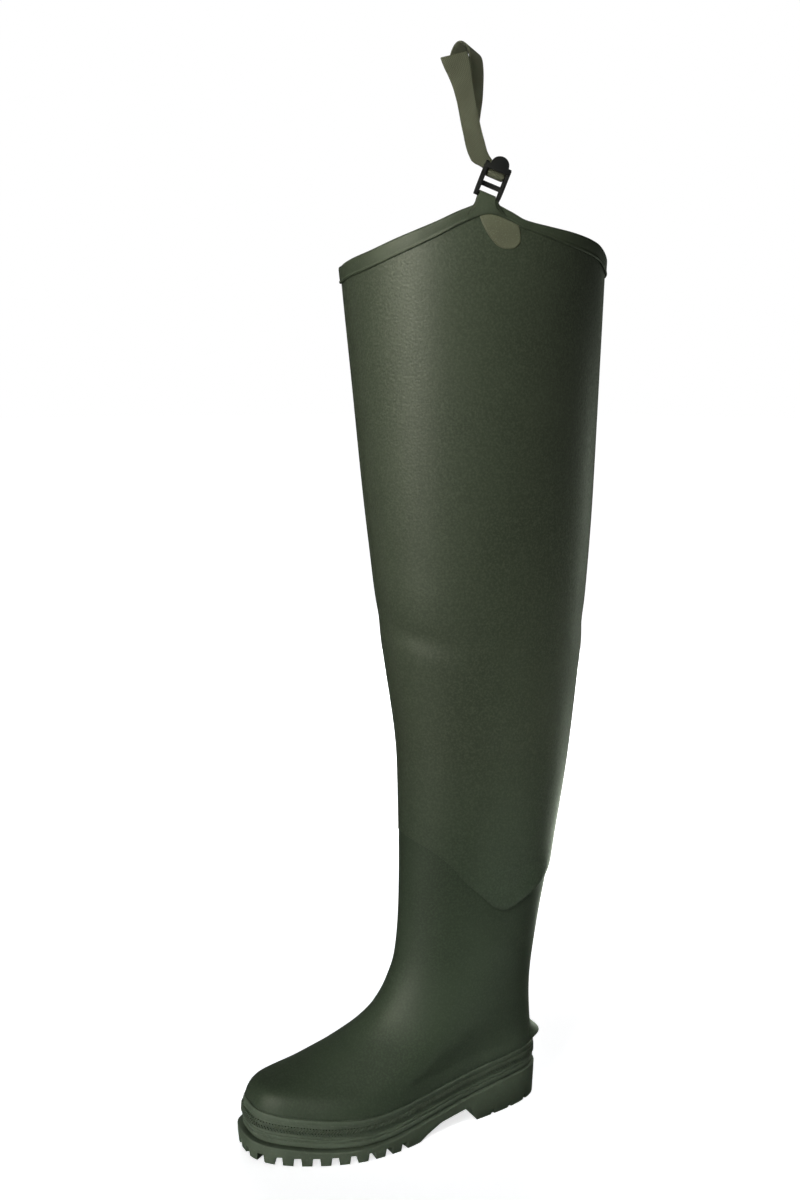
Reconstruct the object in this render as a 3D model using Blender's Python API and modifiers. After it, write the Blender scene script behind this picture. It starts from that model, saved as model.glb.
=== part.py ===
"""Left hip wader: a moulded rubber boot, a welded leg with a bound collar, and a belt strap on a buckle.

Metres, +Z up. The toe points to -Y, the heel to +Y, and the outer side of the left leg to +X.
The foot is drawn around its own centre; at the end all pieces move together, so that the origin
lies on the floor under the middle of the whole wader.
"""

import math

import bmesh
import bpy
import numpy as np
from mathutils import Matrix, Vector

OBJECT_NAME = "hip_wader"
AROUND = 52
GAP = 0.0003
WELD = 1e-6
SLIVER = 1e-7
ON_LINE = 1e-6

# Main form of the boot and leg. One row is one ring around the outside, from the sole to the collar.
# level is the height of the ring at the back; front_y, front_z and back_y are its two ends.
# medial and lateral are half widths of its oval. fullness 1 is an oval, less is squarer.
# foot is the share of the foot plan in the ring's outline.
SHELL_COLUMNS = ("level", "front_y", "front_z", "back_y", "medial", "lateral", "fullness", "foot")
SHELL = (
    (0.0330, -0.1460, 0.0210, 0.1460, 0.0400, 0.0420, 0.60, 1.00),
    (0.0360, -0.1460, 0.0240, 0.1460, 0.0400, 0.0420, 0.60, 1.00),
    (0.0460, -0.1474, 0.0370, 0.1472, 0.0410, 0.0430, 0.60, 1.00),
    (0.0560, -0.1442, 0.0505, 0.1470, 0.0410, 0.0430, 0.61, 0.98),
    (0.0650, -0.1370, 0.0645, 0.1466, 0.0410, 0.0430, 0.65, 0.94),
    (0.0750, -0.1075, 0.0755, 0.1463, 0.0415, 0.0430, 0.71, 0.86),
    (0.0870, -0.0735, 0.0855, 0.1460, 0.0420, 0.0430, 0.79, 0.66),
    (0.1000, -0.0415, 0.0975, 0.1458, 0.0425, 0.0430, 0.87, 0.42),
    (0.1140, -0.0205, 0.1130, 0.1460, 0.0425, 0.0430, 0.94, 0.20),
    (0.1320, -0.0060, 0.1345, 0.1472, 0.0430, 0.0430, 0.98, 0.06),
    (0.1560, 0.0034, 0.1600, 0.1502, 0.0435, 0.0435, 1.00, 0.00),
    (0.1900, 0.0074, 0.1910, 0.1552, 0.0455, 0.0455, 1.00, 0.00),
    (0.2250, 0.0092, 0.2250, 0.1618, 0.0475, 0.0475, 1.00, 0.00),
    (0.2670, 0.0108, 0.2670, 0.1690, 0.0505, 0.0505, 1.00, 0.00),
    (0.3460, 0.0098, 0.3460, 0.1808, 0.0565, 0.0565, 1.00, 0.00),
    (0.4620, -0.0050, 0.4620, 0.1915, 0.0660, 0.0660, 1.00, 0.00),
    (0.5920, -0.0215, 0.5920, 0.1984, 0.0770, 0.0770, 1.00, 0.00),
    (0.7000, -0.0320, 0.7000, 0.2001, 0.0860, 0.0860, 1.00, 0.00),
    (0.7980, -0.0415, 0.7980, 0.2014, 0.0940, 0.0940, 1.00, 0.00),
    (0.8700, -0.0470, 0.8700, 0.2020, 0.0995, 0.0995, 1.00, 0.00),
)

# Plan of the foot, before its ends are rounded: station 0 is the toe and 1 the heel.
# Columns: station, medial, lateral.
FOOT_PLAN = (
    (0.00, 0.0500, 0.0450),
    (0.10, 0.0515, 0.0495),
    (0.20, 0.0530, 0.0570),
    (0.30, 0.0520, 0.0605),
    (0.40, 0.0465, 0.0580),
    (0.50, 0.0395, 0.0520),
    (0.60, 0.0355, 0.0470),
    (0.70, 0.0360, 0.0445),
    (0.80, 0.0390, 0.0440),
    (0.90, 0.0410, 0.0440),
    (1.00, 0.0420, 0.0440),
)
TOE_SWING = 0.004

# Top of the outsole along the foot, where the boot wall and the insole stand on it.
# Columns: y, z.
SOLE_TOP = (
    (-0.1520, 0.0218),
    (-0.1300, 0.0180),
    (-0.1050, 0.0148),
    (-0.0800, 0.0131),
    (-0.0550, 0.0130),
    (-0.0200, 0.0155),
    (0.0200, 0.0205),
    (0.0600, 0.0270),
    (0.1000, 0.0315),
    (0.1520, 0.0332),
)

# Underside of the outsole: toe spring, flat forefoot, raised waist, heel breast, flat heel.
# Columns: y, z.
SOLE_UNDER = (
    (-0.1560, 0.0044),
    (-0.1350, 0.0016),
    (-0.1150, 0.0000),
    (0.0000, 0.0000),
    (0.0090, 0.0050),
    (0.0260, 0.0115),
    (0.0590, 0.0160),
    (0.0670, 0.0000),
    (0.1420, 0.0000),
    (0.1520, 0.0022),
)

# Side of the outsole. drop is measured down from its top, out from the boot wall.
# Columns: drop, out.
SOLE_SIDE = (
    (0.0000, 0.0034),
    (0.0008, 0.0040),
    (0.0080, 0.0038),
)
SOLE_FOOT_OUT = 0.0028
SOLE_TOE_EXTRA = 0.0034
SOLE_STATIONS = 48
HEEL_BREAST_Y = (0.0590, 0.0670)

# Lugs are left standing between grooves that are wider at the floor than at their root.
LUG_PITCH = 0.0172
LUG_LAST_Y = -0.0020
GROOVE_FLOOR = 0.0086
GROOVE_ROOT = 0.0062
GROOVE_DEPTH = 0.0080
GROOVE_REACH = 0.0140
GROOVE_OVERSHOOT = 0.0080
GROOVE_BELOW_FLOOR = 0.0040
EDGE_WALK_STEPS = 2400
HEEL_GROOVE_Y = (0.0860, 0.1070, 0.1270)
HEEL_GROOVE_FLOOR = 0.0058
HEEL_GROOVE_ROOT = 0.0040
HEEL_GROOVE_DEPTH = 0.0046
BAR_GROOVE_Y = (-0.1080, -0.0865, -0.0650, -0.0435, -0.0220)
BAR_GROOVE_DEPTH = 0.0060
BAR_GROOVE_SHARE = 0.48

UPPER_WALL = 0.0024
UPPER_TOP = 0.3040
UPPER_LEVELS = (
    0.0410, 0.0485, 0.0560, 0.0635, 0.0715, 0.0800, 0.0890, 0.0990, 0.1100, 0.1240,
    0.1420, 0.1660, 0.1950, 0.2250, 0.2530, 0.2790,
)

INSOLE_THICK = 0.0032
INSOLE_CLEAR = 0.0006
INSOLE_STATIONS = 30

# Rand: out is measured from the boot wall, level as in the rings of the shell.
# Columns: out, level.
RAND = (
    (0.0003, 0.0345),
    (0.0018, 0.0345),
    (0.0024, 0.0356),
    (0.0022, 0.0405),
    (0.0018, 0.0415),
    (0.0018, 0.0528),
    (0.0022, 0.0536),
    (0.0019, 0.0554),
    (0.0003, 0.0560),
    (0.0003, 0.0485),
    (0.0003, 0.0410),
)

# Kick-off ledge on the heel: the section is thickest at the back and runs out to both sides, over
# SPUR_HALF_SPAN divisions of the boot each way.
# Columns: out_share, level.
SPUR = (
    (0.00, 0.0567),
    (0.50, 0.0573),
    (0.97, 0.0608),
    (1.00, 0.0625),
    (0.70, 0.0654),
    (0.30, 0.0700),
    (0.00, 0.0745),
)
SPUR_HALF_SPAN = 3
SPUR_OUT = 0.0100
SPUR_END_OUT = 0.0012
SPUR_FULLNESS = 0.8
SPUR_SEAT_LEVELS = (0.0715, 0.0635)

# Leg: heights of its lower hem and of its rim around the leg, 0 at the front, 90 on the outer side.
# band is the height of the binding on the outside of the rim.
# Columns: angle, hem, rim, band.
LEG_EDGE = (
    (0.0, 0.2855, 0.8010, 0.0125),
    (17.0, 0.2820, 0.8080, 0.0125),
    (35.0, 0.2745, 0.8195, 0.0120),
    (50.0, 0.2615, 0.8305, 0.0105),
    (62.0, 0.2455, 0.8410, 0.0090),
    (71.0, 0.2350, 0.8465, 0.0080),
    (80.0, 0.2245, 0.8395, 0.0060),
    (87.0, 0.2158, 0.8325, 0.0055),
    (98.0, 0.2102, 0.8280, 0.0075),
    (112.0, 0.2165, 0.8235, 0.0105),
    (130.0, 0.2285, 0.8165, 0.0120),
    (150.0, 0.2380, 0.8045, 0.0125),
    (180.0, 0.2440, 0.7985, 0.0125),
    (220.0, 0.2330, 0.8050, 0.0125),
    (250.0, 0.2170, 0.8160, 0.0125),
    (268.0, 0.2100, 0.8200, 0.0125),
    (285.0, 0.2250, 0.8180, 0.0125),
    (305.0, 0.2510, 0.8080, 0.0125),
    (325.0, 0.2730, 0.7990, 0.0125),
    (345.0, 0.2840, 0.7965, 0.0125),
    (360.0, 0.2855, 0.8010, 0.0125),
)
LEG_WALL = 0.0012
LEG_RINGS = (0.0, 0.045, 0.09, 0.15, 0.23, 0.33, 0.44, 0.55, 0.66, 0.77, 0.885, 1.0)

# Binding folded over the rim. out is from the leg's outer face, rise from the rim, and hung rows
# hang from the rim by the height of the band.
# Columns: out, rise, hung.
BINDING = (
    (0.0003, 0.0000, 1),
    (0.0016, 0.0000, 1),
    (0.0013, 0.0022, 1),
    (0.0013, 0.0008, 0),
    (-0.0007, 0.0016, 0),
    (-0.0026, 0.0008, 0),
    (-0.0026, -0.0090, 0),
    (-0.0015, -0.0090, 0),
    (-0.0015, 0.0003, 0),
    (0.0003, 0.0003, 0),
)

# Half-round patches that hold the rim where it carries load, hung from the binding's lower edge.
# bottom is their lowest height, and skew carries the bottom along the leg towards the heel.
# Columns: name, angle, half_width, bottom, skew.
PATCHES = (
    ("outer_patch", 75.8, 0.0168, 0.8110, 0.0078),
    ("inner_patch", 268.0, 0.0245, 0.7650, 0.0000),
)
PATCH_WALL = 0.0008
PATCH_END_SHARE = 0.985
PATCH_FULLNESS = 0.4
PATCH_ACROSS = 8
PATCH_DOWN = 6

SEAM_WIDTH = 0.0130
SEAM_WALL = 0.0008
SEAM_STEPS = 14

# Buckle and strap stand at the peak of the rim. Their places are given along, out and up from there:
# along the rim towards the heel, out from the leg, and up.
PEAK_ANGLE = 70.5
TAB_WIDTH = 0.0142
TAB_FOOT_WIDTH = 0.0146
TAB_WALL = 0.0013
TAB_FOOT_UP = 0.0019
TAB_STEPS = 8

BUCKLE_LEAN = math.radians(21)
BUCKLE_TIP_OUT = math.radians(-5)
BUCKLE_WIDTH = 0.0220
BUCKLE_FOOT_UP = 0.0052
RAIL_WIDTH = 0.0028
RAIL_BACK = -0.0024
RAIL_FRONT = 0.0040
RAIL_LENGTH = 0.0282
BAR_THICK = 0.0026
BAR_DEPTH = 0.00244
# Columns: name, out, up, height.
BARS = (
    ("low_bar", -0.0005, 0.0000, 0.0025),
    ("middle_bar", -0.0005, 0.0094, 0.0042),
    ("top_bar", -0.0012, 0.0190, 0.0025),
)
THUMB_TAB_UP = 0.0256
THUMB_TAB_HALF = 0.0076
THUMB_TAB_INSET = 0.0004
THUMB_TAB_FULLNESS = 0.9
THUMB_TAB_STEPS = 8
THUMB_TAB_REACH = 0.0080
THUMB_TAB_FOOT = 0.0032
THUMB_TAB_BACK = 0.0034
THUMB_TAB_FRONT = 0.0058

# Strap: webbing sewn to a loop. It runs from its cut end down the front, round the top bar, up the back and
# over an arch to a second end on its own back. turn swings its width about the upright, 0 is flat along
# the rim; dip lowers the end of the width that lies towards the heel.
STRAP_WIDTH = 0.0152
STRAP_WALL = 0.0016
STRAP_WRAP_ANGLES = (108.0, 66.0, 25.0, -10.0, -45.0, -80.0, -115.0, -150.0, -180.0)
# Columns: along, out, up, turn, dip.
STRAP_FRONT = (
    (-0.0290, 0.0040, 0.1135, 0.0, -14.0),
    (-0.0268, 0.0040, 0.1080, 0.0, -16.0),
    (-0.0226, 0.0040, 0.0956, 0.0, -16.0),
    (-0.0180, 0.0030, 0.0783, 4.0, -15.0),
    (-0.0131, 0.0004, 0.0591, 8.0, -18.0),
    (-0.0083, -0.0026, 0.0456, 8.0, -22.0),
    (-0.0042, -0.0050, 0.0364, 4.0, -18.0),
    (0.0036, -0.0060, 0.0294, 0.0, 4.0),
)
STRAP_BACK = (
    (0.0055, -0.0074, 0.0280, 0.0, 10.0),
    (0.0002, -0.0086, 0.0328, 0.0, -6.0),
    (-0.0044, -0.0082, 0.0385, 0.0, -20.0),
    (-0.0085, -0.0068, 0.0468, -4.0, -20.0),
    (-0.0116, -0.0060, 0.0600, -14.0, -6.0),
    (-0.0102, -0.0064, 0.0690, -24.0, 0.0),
    (-0.0078, -0.0072, 0.0820, -30.0, 0.0),
    (-0.0072, -0.0070, 0.0974, -30.0, 0.0),
    (-0.0078, -0.0062, 0.1080, -30.0, 6.0),
    (-0.0088, -0.0070, 0.1155, -30.0, 16.0),
    (-0.0112, -0.0105, 0.1206, -30.0, 26.0),
    (-0.0150, -0.0152, 0.1226, -30.0, 29.0),
    (-0.0178, -0.0203, 0.1204, -30.0, 24.0),
    (-0.0198, -0.0236, 0.1140, -30.0, 12.0),
    (-0.0202, -0.0236, 0.1060, -30.0, 0.0),
    (-0.0178, -0.0186, 0.0975, -30.0, 0.0),
    (-0.0138, -0.0128, 0.0905, -30.0, 0.0),
    (-0.0114, -0.0098, 0.0835, -30.0, 0.0),
    (-0.0120, -0.0094, 0.0760, -28.0, 0.0),
)
STRAP_STEPS = 2


def clear_scene():
    for item in list(bpy.data.objects):
        bpy.data.objects.remove(item, do_unlink=True)
    for group in list(bpy.data.collections):
        bpy.data.collections.remove(group)


def smooth(rows, column, at):
    """Value of one column of a table at a place in its first column, on a curve that never overshoots."""
    keys = [row[0] for row in rows]
    values = [row[column] for row in rows]
    at = min(max(at, keys[0]), keys[-1])
    i = min(max(int(np.searchsorted(keys, at)) - 1, 0), len(keys) - 2)
    slopes = [(values[j + 1] - values[j]) / (keys[j + 1] - keys[j]) for j in range(len(keys) - 1)]

    def tangent(j):
        if j == 0:
            return slopes[0]
        if j == len(keys) - 1:
            return slopes[-1]
        before, after = slopes[j - 1], slopes[j]
        if before * after <= 0.0:
            return 0.0
        return 2.0 * before * after / (before + after)

    span = keys[i + 1] - keys[i]
    s = (at - keys[i]) / span
    start = (1 + 2 * s) * (1 - s) ** 2 * values[i] + s * (1 - s) ** 2 * span * tangent(i)
    end = s * s * (3 - 2 * s) * values[i + 1] + s * s * (s - 1) * span * tangent(i + 1)
    return start + end


def straight(rows, at):
    """Height of a two-column table at a place, in straight runs."""
    return float(np.interp(at, [row[0] for row in rows], [row[1] for row in rows]))


def sole_top(y):
    return smooth(SOLE_TOP, 1, y)


def shell_point(turn, level):
    """Point on the outside of the boot and leg: turn 0 is the front, a quarter turn the outer side."""
    row = [smooth(SHELL, c, level) for c in range(1, len(SHELL_COLUMNS))]
    front_y, front_z, back_y, medial, lateral, fullness, foot = row
    station = (1.0 - math.cos(turn)) / 2.0
    y = front_y + (back_y - front_y) * station
    outer_side = math.sin(turn) >= 0.0
    oval = lateral if outer_side else medial
    plan = smooth(FOOT_PLAN, 2 if outer_side else 1, station)
    half = foot * plan + (1.0 - foot) * oval
    across = abs(math.sin(turn)) ** fullness * half
    x = (across if outer_side else -across) - TOE_SWING * foot * (1.0 - station) ** 2
    feather_front, feather_back = SHELL[0][2], SHELL[0][0]
    feather = feather_front + (feather_back - feather_front) * station
    z = front_z + (level - front_z) * station + foot * (sole_top(y) - feather)
    return Vector((x, y, z))


def shell_normal(turn, level):
    """Outward direction square to the shell."""
    nudge_turn, nudge_level = 0.02, 0.0006
    around = shell_point(turn + nudge_turn, level) - shell_point(turn - nudge_turn, level)
    upward = shell_point(turn, level + nudge_level) - shell_point(turn, level - nudge_level)
    return around.cross(upward).normalized()


def on_shell(turn, level, out):
    return shell_point(turn, level) + shell_normal(turn, level) * out


def feather_point(turn, out):
    """Point out from the foot of the boot wall, level with the floor."""
    level = SHELL[0][0]
    normal = shell_normal(turn, level)
    flat = Vector((normal.x, normal.y, 0.0)).normalized()
    return shell_point(turn, level) + flat * out


def sole_edge(turn, out):
    """Point on the side of the outsole, which stands out further towards the toe."""
    station = (1.0 - math.cos(turn)) / 2.0
    return feather_point(turn, out + SOLE_TOE_EXTRA * (1.0 - station) ** 2)


def turns(count):
    return [2.0 * math.pi * i / count for i in range(count)]


def leg_edge(column, angle):
    return smooth(LEG_EDGE, column, angle % 360.0)


def leg_height(turn, share):
    angle = math.degrees(turn)
    hem = leg_edge(1, angle)
    return hem + (leg_edge(2, angle) - hem) * share


def facet_leg(turn, level, out):
    """Point on the leg as its flat facets lie between the division lines around it."""
    step = 2.0 * math.pi / AROUND
    low = math.floor(turn / step + ON_LINE)
    part = turn / step - low
    first = on_shell(low * step, level, out)
    second = on_shell((low + 1) * step, level, out)
    return first.lerp(second, part)


def material(name, colour, roughness):
    made = bpy.data.materials.new(name)
    made.use_nodes = True
    surface = made.node_tree.nodes["Principled BSDF"]
    surface.inputs["Base Color"].default_value = (*colour, 1.0)
    surface.inputs["Roughness"].default_value = roughness
    return made


def add_object(name, mesh, group, finish=None):
    made = bpy.data.objects.new(name, mesh)
    group.objects.link(made)
    if finish is not None:
        mesh.materials.append(finish)
    return made


def mesh_from(name, points, faces):
    """Mesh with welded points and its faces turned outward."""
    body = bmesh.new()
    corners = [body.verts.new(point) for point in points]
    for face in faces:
        body.faces.new([corners[i] for i in face])
    bmesh.ops.remove_doubles(body, verts=body.verts, dist=WELD)
    bmesh.ops.dissolve_degenerate(body, edges=body.edges, dist=SLIVER)
    bmesh.ops.recalc_face_normals(body, faces=body.faces)
    mesh = bpy.data.meshes.new(name)
    body.to_mesh(mesh)
    body.free()
    return mesh


def tube_mesh(name, rings):
    """Open surface through closed rings of the same count."""
    count = len(rings[0])
    points = [point for ring in rings for point in ring]
    faces = []
    for k in range(len(rings) - 1):
        for i in range(count):
            j = (i + 1) % count
            faces.append((k * count + i, k * count + j, (k + 1) * count + j, (k + 1) * count + i))
    return mesh_from(name, points, faces)


def loft_mesh(name, sections, ends):
    """Solid through closed sections of the same count; its ends are joined, capped or pinched shut."""
    count = len(sections[0])
    points = [point for section in sections for point in section]
    faces = []
    spans = len(sections) if ends == "joined" else len(sections) - 1
    for k in range(spans):
        n = (k + 1) % len(sections)
        for i in range(count):
            j = (i + 1) % count
            faces.append((k * count + i, k * count + j, n * count + j, n * count + i))
    if ends == "capped":
        faces.append(tuple(range(count)))
        faces.append(tuple(range(len(points) - count, len(points))))
    return mesh_from(name, points, faces)


def sheet_mesh(name, grid, thickness):
    """Thin solid on a grid of (point, normal) rows, built outward by the thickness."""
    rows, columns = len(grid), len(grid[0])
    points = [point for row in grid for point, _ in row]
    points += [point + normal * thickness for row in grid for point, normal in row]
    shift = rows * columns
    faces = []
    for r in range(rows - 1):
        for c in range(columns - 1):
            a, b = r * columns + c, r * columns + c + 1
            d, e = a + columns, b + columns
            faces.append((a, b, e, d))
            faces.append((a + shift, d + shift, e + shift, b + shift))
    border = [(0, c) for c in range(columns - 1)]
    border += [(r, columns - 1) for r in range(rows - 1)]
    border += [(rows - 1, c) for c in range(columns - 1, 0, -1)]
    border += [(r, 0) for r in range(rows - 1, 0, -1)]
    for k in range(len(border)):
        a = border[k][0] * columns + border[k][1]
        r, c = border[(k + 1) % len(border)]
        b = r * columns + c
        faces.append((a, b, b + shift, a + shift))
    return mesh_from(name, points, faces)


def solidify(item, thickness):
    shell = item.modifiers.new("wall", "SOLIDIFY")
    shell.thickness = thickness
    shell.offset = -1.0
    shell.use_even_offset = True


def cut(item, cutter, operation="DIFFERENCE"):
    boolean = item.modifiers.new(cutter.name, "BOOLEAN")
    boolean.operation = operation
    boolean.solver = "EXACT"
    boolean.object = cutter


def sole_turns(stations, extra):
    """Turns from toe to heel along one side, with extra stations at the given places."""
    front, back = SHELL[0][1], SHELL[0][3]
    found = [math.pi * i / stations for i in range(stations + 1)]
    for y in extra:
        found.append(math.acos(1.0 - 2.0 * (y - front) / (back - front)))
    return sorted(found)


def outsole_mesh():
    """Outsole without its grooves: sections across the foot from toe to heel."""
    sections = []
    for turn in sole_turns(SOLE_STATIONS, HEEL_BREAST_Y):
        sides = []
        for side in (1.0, -1.0):
            column = []
            for drop, out in SOLE_SIDE:
                point = sole_edge(side * turn, out)
                column.append(Vector((point.x, point.y, sole_top(point.y) - drop)))
            point = sole_edge(side * turn, SOLE_FOOT_OUT)
            column.append(Vector((point.x, point.y, straight(SOLE_UNDER, point.y))))
            sides.append(column)
        sections.append(sides[0] + sides[1][::-1])
    return loft_mesh("outsole", sections, "pinched")


def groove_block(place, inward, reach, floor_width, root_width, root_z):
    """Corners of one tapered groove cutter that enters the sole at a place on its edge."""
    side = Vector((-inward.y, inward.x, 0.0))
    start = place - inward * GROOVE_OVERSHOOT
    end = place + inward * reach
    corners = []
    for z, width in ((-GROOVE_BELOW_FLOOR, floor_width), (root_z, root_width)):
        for base, sign in ((start, -1), (start, 1), (end, 1), (end, -1)):
            spot = base + side * (sign * width / 2.0)
            corners.append(Vector((spot.x, spot.y, z)))
    return corners


BLOCK_FACES = ((0, 1, 2, 3), (4, 7, 6, 5), (0, 4, 5, 1), (1, 5, 6, 2), (2, 6, 7, 3), (3, 7, 4, 0))


def blocks_mesh(name, blocks):
    points = [corner for block in blocks for corner in block]
    faces = []
    for k in range(len(blocks)):
        faces += [tuple(8 * k + i for i in face) for face in BLOCK_FACES]
    return mesh_from(name, points, faces)


def edge_walk(side, spacing, first, last_y):
    """Turns along one side of the sole from the toe, spaced by length along its edge."""
    found, walked, wanted = [], 0.0, first
    previous = sole_edge(0.0, SOLE_FOOT_OUT)
    for i in range(1, EDGE_WALK_STEPS):
        turn = side * math.pi * i / EDGE_WALK_STEPS
        point = sole_edge(turn, SOLE_FOOT_OUT)
        walked += (Vector((point.x, point.y)) - Vector((previous.x, previous.y))).length
        previous = point
        if point.y > last_y:
            break
        if walked >= wanted:
            found.append(turn)
            wanted += spacing
    return found


def edge_groove(turn, floor_width, root_width, depth, reach):
    place = sole_edge(turn, SOLE_FOOT_OUT)
    normal = shell_normal(turn, SHELL[0][0])
    inward = -Vector((normal.x, normal.y, 0.0)).normalized()
    root_z = straight(SOLE_UNDER, place.y) + depth
    return groove_block(Vector((place.x, place.y, 0.0)), inward, reach, floor_width, root_width, root_z)


def groove_cutters():
    forefoot, heel, bars = [], [], []
    front, back = SHELL[0][1], SHELL[0][3]
    for side in (1.0, -1.0):
        for turn in edge_walk(side, LUG_PITCH, LUG_PITCH / 2.0, LUG_LAST_Y):
            forefoot.append(edge_groove(turn, GROOVE_FLOOR, GROOVE_ROOT, GROOVE_DEPTH, GROOVE_REACH))
        for y in HEEL_GROOVE_Y:
            turn = side * math.acos(1.0 - 2.0 * (y - front) / (back - front))
            heel.append(
                edge_groove(turn, HEEL_GROOVE_FLOOR, HEEL_GROOVE_ROOT, HEEL_GROOVE_DEPTH, GROOVE_REACH)
            )
    heel.append(
        edge_groove(math.pi, HEEL_GROOVE_FLOOR, HEEL_GROOVE_ROOT, HEEL_GROOVE_DEPTH, GROOVE_REACH)
    )
    for y in BAR_GROOVE_Y:
        turn = math.acos(1.0 - 2.0 * (y - front) / (back - front))
        left = feather_point(-turn, 0.0).x * BAR_GROOVE_SHARE
        right = feather_point(turn, 0.0).x * BAR_GROOVE_SHARE
        root_z = straight(SOLE_UNDER, y) + BAR_GROOVE_DEPTH
        place = Vector((left + GROOVE_OVERSHOOT, y, 0.0))
        reach = right - left - GROOVE_OVERSHOOT
        bars.append(
            groove_block(place, Vector((1.0, 0.0, 0.0)), reach, GROOVE_FLOOR, GROOVE_ROOT, root_z)
        )
    return blocks_mesh("tread_grooves", forefoot + heel + bars)


def insole_mesh():
    """Slab that lies on the outsole inside the boot wall."""
    sections = []
    inset = -(UPPER_WALL + INSOLE_CLEAR)
    for turn in sole_turns(INSOLE_STATIONS, ()):
        right, left = feather_point(turn, inset), feather_point(-turn, inset)
        section = []
        for point, rise in ((right, GAP), (right, INSOLE_THICK), (left, INSOLE_THICK), (left, GAP)):
            section.append(Vector((point.x, point.y, sole_top(point.y) + rise)))
        sections.append(section)
    return loft_mesh("insole", sections, "pinched")


def upper_mesh():
    """Outside of the boot, from the outsole to its top inside the leg."""
    rings = []
    foot_ring = []
    for turn in turns(AROUND):
        point = shell_point(turn, SHELL[0][0])
        foot_ring.append(Vector((point.x, point.y, sole_top(point.y) + GAP)))
    rings.append(foot_ring)
    for level in (*UPPER_LEVELS, UPPER_TOP):
        rings.append([shell_point(turn, level) for turn in turns(AROUND)])
    return tube_mesh("upper", rings)


def rand_mesh():
    sections = []
    for turn in turns(AROUND):
        sections.append([on_shell(turn, level, out) for out, level in RAND])
    return loft_mesh("rand", sections, "joined")


def spur_mesh():
    """Ledge across the back of the heel, seated on the boot wall."""
    sections = []
    for k in range(-SPUR_HALF_SPAN, SPUR_HALF_SPAN + 1):
        share = k / SPUR_HALF_SPAN
        turn = math.pi + k * 2.0 * math.pi / AROUND
        thick = SPUR_END_OUT + (SPUR_OUT - SPUR_END_OUT) * math.cos(share * math.pi / 2.0) ** SPUR_FULLNESS
        section = []
        for out_share, level in SPUR:
            section.append(on_shell(turn, level, GAP + thick * out_share))
        for level in SPUR_SEAT_LEVELS:
            section.append(on_shell(turn, level, GAP))
        sections.append(section)
    return loft_mesh("heel_spur", sections, "capped")


def leg_mesh():
    """Outside of the leg sheet, from its scalloped hem to the rim."""
    rings = []
    for share in LEG_RINGS:
        ring = []
        for turn in turns(AROUND):
            ring.append(on_shell(turn, leg_height(turn, share), GAP + LEG_WALL))
        rings.append(ring)
    return tube_mesh("leg", rings)


def binding_mesh():
    """Band folded over the rim of the leg."""
    sections = []
    for turn in turns(AROUND):
        rim = rim_height(turn)
        band = leg_edge(3, math.degrees(turn))
        section = []
        for out, rise, hung in BINDING:
            section.append(on_shell(turn, rim + rise - hung * band, GAP + LEG_WALL + out))
        sections.append(section)
    return loft_mesh("collar_binding", sections, "joined")


def facet_height(turn, of_turn):
    """A height around the leg as it runs straight between the division lines."""
    step = 2.0 * math.pi / AROUND
    low = math.floor(turn / step + ON_LINE)
    part = turn / step - low
    return (1.0 - part) * of_turn(low * step) + part * of_turn((low + 1) * step)


def rim_height(turn):
    return leg_height(turn, 1.0)


def band_edge(turn):
    """Height just below the binding on the outside of the leg."""
    return facet_height(turn, lambda t: rim_height(t) - leg_edge(3, math.degrees(t))) - GAP


def patch_mesh(name, angle, half_width, bottom, skew):
    """Half-round skin on the leg below the binding."""
    middle = math.radians(angle)
    radius = leg_radius(middle)
    grid = []
    for r in range(PATCH_DOWN):
        share = PATCH_END_SHARE * math.sin(r / (PATCH_DOWN - 1) * math.pi / 2.0)
        reach = half_width * (1.0 - share**2) ** PATCH_FULLNESS
        row = []
        for c in range(PATCH_ACROSS + 1):
            along = skew * share + reach * (2.0 * c / PATCH_ACROSS - 1.0)
            turn = middle + along / radius
            level = band_edge(turn) + (bottom - band_edge(turn)) * share
            point = facet_leg(turn, level, 2.0 * GAP + LEG_WALL)
            row.append((point, shell_normal(turn, level)))
        grid.append(row)
    return sheet_mesh(name, grid, PATCH_WALL)


def leg_radius(turn):
    """Length around the leg for one radian of turn, at the rim."""
    nudge = 0.02
    level = rim_height(turn)
    return (shell_point(turn + nudge, level) - shell_point(turn - nudge, level)).length / (2.0 * nudge)


def seam_mesh():
    """Weld strip down the back of the leg."""
    grid = []
    low, high = leg_height(math.pi, 0.0), band_edge(math.pi)
    for r in range(SEAM_STEPS + 1):
        level = low + (high - low) * r / SEAM_STEPS
        half_turn = SEAM_WIDTH / 2.0 / smooth(SHELL, 4, level)
        row = []
        for share in (-1.0, 0.0, 1.0):
            turn = math.pi + share * half_turn
            point = facet_leg(turn, level, 2.0 * GAP + LEG_WALL)
            row.append((point, shell_normal(turn, level)))
        grid.append(row)
    return sheet_mesh("back_seam", grid, SEAM_WALL)


def peak_frame():
    """Frame at the peak of the rim: along the rim, out of the leg, and up."""
    turn = math.radians(PEAK_ANGLE)
    level = rim_height(turn)
    place = on_shell(turn, level, GAP + LEG_WALL / 2.0)
    normal = shell_normal(turn, level)
    out = Vector((normal.x, normal.y, 0.0)).normalized()
    up = Vector((0.0, 0.0, 1.0))
    along = up.cross(out)
    frame = Matrix((along, out, up)).transposed().to_4x4()
    frame.translation = place
    return frame


def buckle_frame():
    """Frame of the buckle: its foot bar crosses the peak, and it leans along the rim."""
    lean = Matrix.Rotation(BUCKLE_LEAN, 4, "Y") @ Matrix.Rotation(BUCKLE_TIP_OUT, 4, "X")
    return peak_frame() @ Matrix.Translation((0.0, 0.0, BUCKLE_FOOT_UP)) @ lean


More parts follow.
